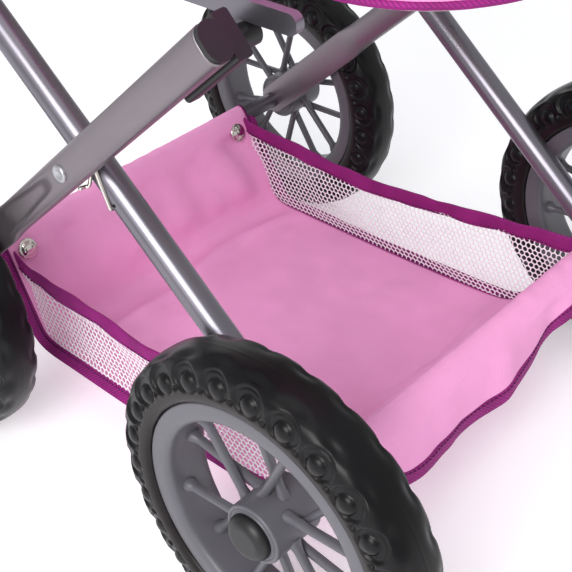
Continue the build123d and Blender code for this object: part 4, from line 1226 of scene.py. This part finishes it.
def hood_rows(count):
    """The canopy's sections from front to back as a grid of points in mm, with its slack and folds."""
    rows = []
    for angle in np.concatenate([np.linspace(HOOD_FRONT, HOOD_MIDDLE, 34)[:-1],
                                 np.linspace(HOOD_MIDDLE, HOOD_BACK, 38)]):
        radius, width, corner = hood_section(angle)
        first, last = (HOOD_FRONT, HOOD_MIDDLE) if angle < HOOD_MIDDLE else (HOOD_MIDDLE, HOOD_BACK)
        share = (angle - first) / (last - first)
        dip = math.sin(math.pi * share) ** 2
        section = hood_outline(radius, width, corner, count)
        ahead = unit(np.gradient(section, axis=0))
        normal = np.stack([ahead[:, 1], -ahead[:, 0]], axis=1)
        across = np.linspace(-1, 1, count)
        held = 1 - np.abs(across) ** 6
        turn = math.radians(angle)
        row = []
        for k in range(count):
            r, y = section[k]
            place = (r * math.cos(turn), y, r * math.sin(turn))
            slack = -(4.5 if angle < HOOD_MIDDLE else 5.5) * dip * (0.55 + 0.45 * abs(math.sin(1.4 * y / 60)))
            slack += 1.3 * dip * soft_noise(place, 38.0, 81.0)
            slack += 0.6 * min(1, 3 * dip) * soft_noise(place, 15.0, 83.0)
            slack += 1.0 * math.exp(-((angle - HOOD_MIDDLE) / 1.5) ** 2)
            folds = 0.8 * math.sin(angle / 2.6) * math.exp(-((r - 30) / 30) ** 2) * min(1, 4 * dip)
            push = slack * held[k] + folds
            row.append((r + normal[k, 0] * push, y + normal[k, 1] * push))
        row = np.array(row)
        rows.append(np.stack([HOOD_AXIS.x / MM + row[:, 0] * math.cos(turn), row[:, 1],
                              HOOD_AXIS.z / MM + row[:, 0] * math.sin(turn)], axis=1))
    return np.array(rows)


class STROLLER_OT_hood(bpy.types.Operator):
    """Canopy over two bows, with its front sleeve, rear tape and seams"""
    bl_idname = "stroller.hood"
    bl_label = "Hood"

    def execute(self, context):
        sizes = context.scene.stroller_sizes
        rows = hood_rows(141)
        middle = rows.shape[1] // 2
        along = arc_lengths(rows[:, middle]) * MM
        across = arc_lengths(rows[0]) * MM
        uvs = np.stack(np.broadcast_arrays(along[:, None], across[None, :]), axis=-1)
        canopy = piece_from("hood_canopy", rows * MM, grid_faces(*rows.shape[:2]), "pink_polyester", uvs)
        thicken(canopy, sizes.cloth_thickness * 1.8)
        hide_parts("hood_front", "hood_rear")
        turn = math.radians(HOOD_FRONT)
        forward = np.array([math.sin(turn), 0, -math.cos(turn)])
        line = smooth_line(rows[0, 2:-2:4], 4.0) + forward * 2.2
        bow = round_bar("hood_front_sleeve", line * MM, 4.0 * MM, "binding_tape", 16)
        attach(bow, "hood")
        centre = np.array([HOOD_AXIS.x / MM, 0, HOOD_AXIS.z / MM])
        for name, k in (("front", 2), ("middle_front", 32), ("middle_back", 35)):
            edge = rows[k, 4:-4]
            out = unit(np.cross(np.gradient(rows, axis=0)[k, 4:-4], np.gradient(edge, axis=0)))
            out = out * np.sign((out * (edge - centre)).sum(1).mean())
            seam = stitches(f"hood_{name}_stitches", (edge + out * 0.75) * MM, out, sizes.stitch_length,
                            0.9 * MM)
            if name == "middle_back":
                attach(seam, "cot")
            else:
                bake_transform(seam)
        back = rows[-1, 3:-3]
        upright = np.tile([0, 0, 1.0], (len(back), 1))
        outward = back * [1, 1, 0] - [HOOD_AXIS.x / MM, 0, 0]
        tape = ribbon("hood_rear_tape", (back + [0, 0, 1.0]) * MM, upright, outward, 8.0 * MM, 1.8 * MM)
        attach(tape, "cot")
        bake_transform(canopy)
        return {"FINISHED"}


# ------------------------------------------------------------------ add-on
class STROLLER_PT_panel(bpy.types.Panel):
    """Sizes, colours and steps of the stroller"""
    bl_idname = "STROLLER_PT_panel"
    bl_label = "Doll stroller"
    bl_space_type = "VIEW_3D"
    bl_region_type = "UI"
    bl_category = "Stroller"

    def draw(self, context):
        for group in (context.scene.stroller_sizes, context.scene.stroller_colours):
            for key in group.bl_rna.properties.keys():
                if key not in ("rna_type", "name"):
                    self.layout.prop(group, key)
        for step in STEPS:
            self.layout.operator(step.bl_idname)


STEPS = (STROLLER_OT_stage, STROLLER_OT_finishes, STROLLER_OT_legs, STROLLER_OT_wheels, STROLLER_OT_basket,
         STROLLER_OT_fittings, STROLLER_OT_carrycot, STROLLER_OT_hood)
CLASSES = (StrollerSizes, StrollerColours, *STEPS, STROLLER_PT_panel)


def register():
    for kind in CLASSES:
        bpy.utils.register_class(kind)
    bpy.types.Scene.stroller_sizes = bpy.props.PointerProperty(type=StrollerSizes)
    bpy.types.Scene.stroller_colours = bpy.props.PointerProperty(type=StrollerColours)


def unregister():
    del bpy.types.Scene.stroller_colours
    del bpy.types.Scene.stroller_sizes
    for kind in reversed(CLASSES):
        bpy.utils.unregister_class(kind)


def main():
    register()
    for step in STEPS:
        group, name = step.bl_idname.split(".")
        getattr(getattr(bpy.ops, group), name)()


if __name__ == "__main__":
    main()
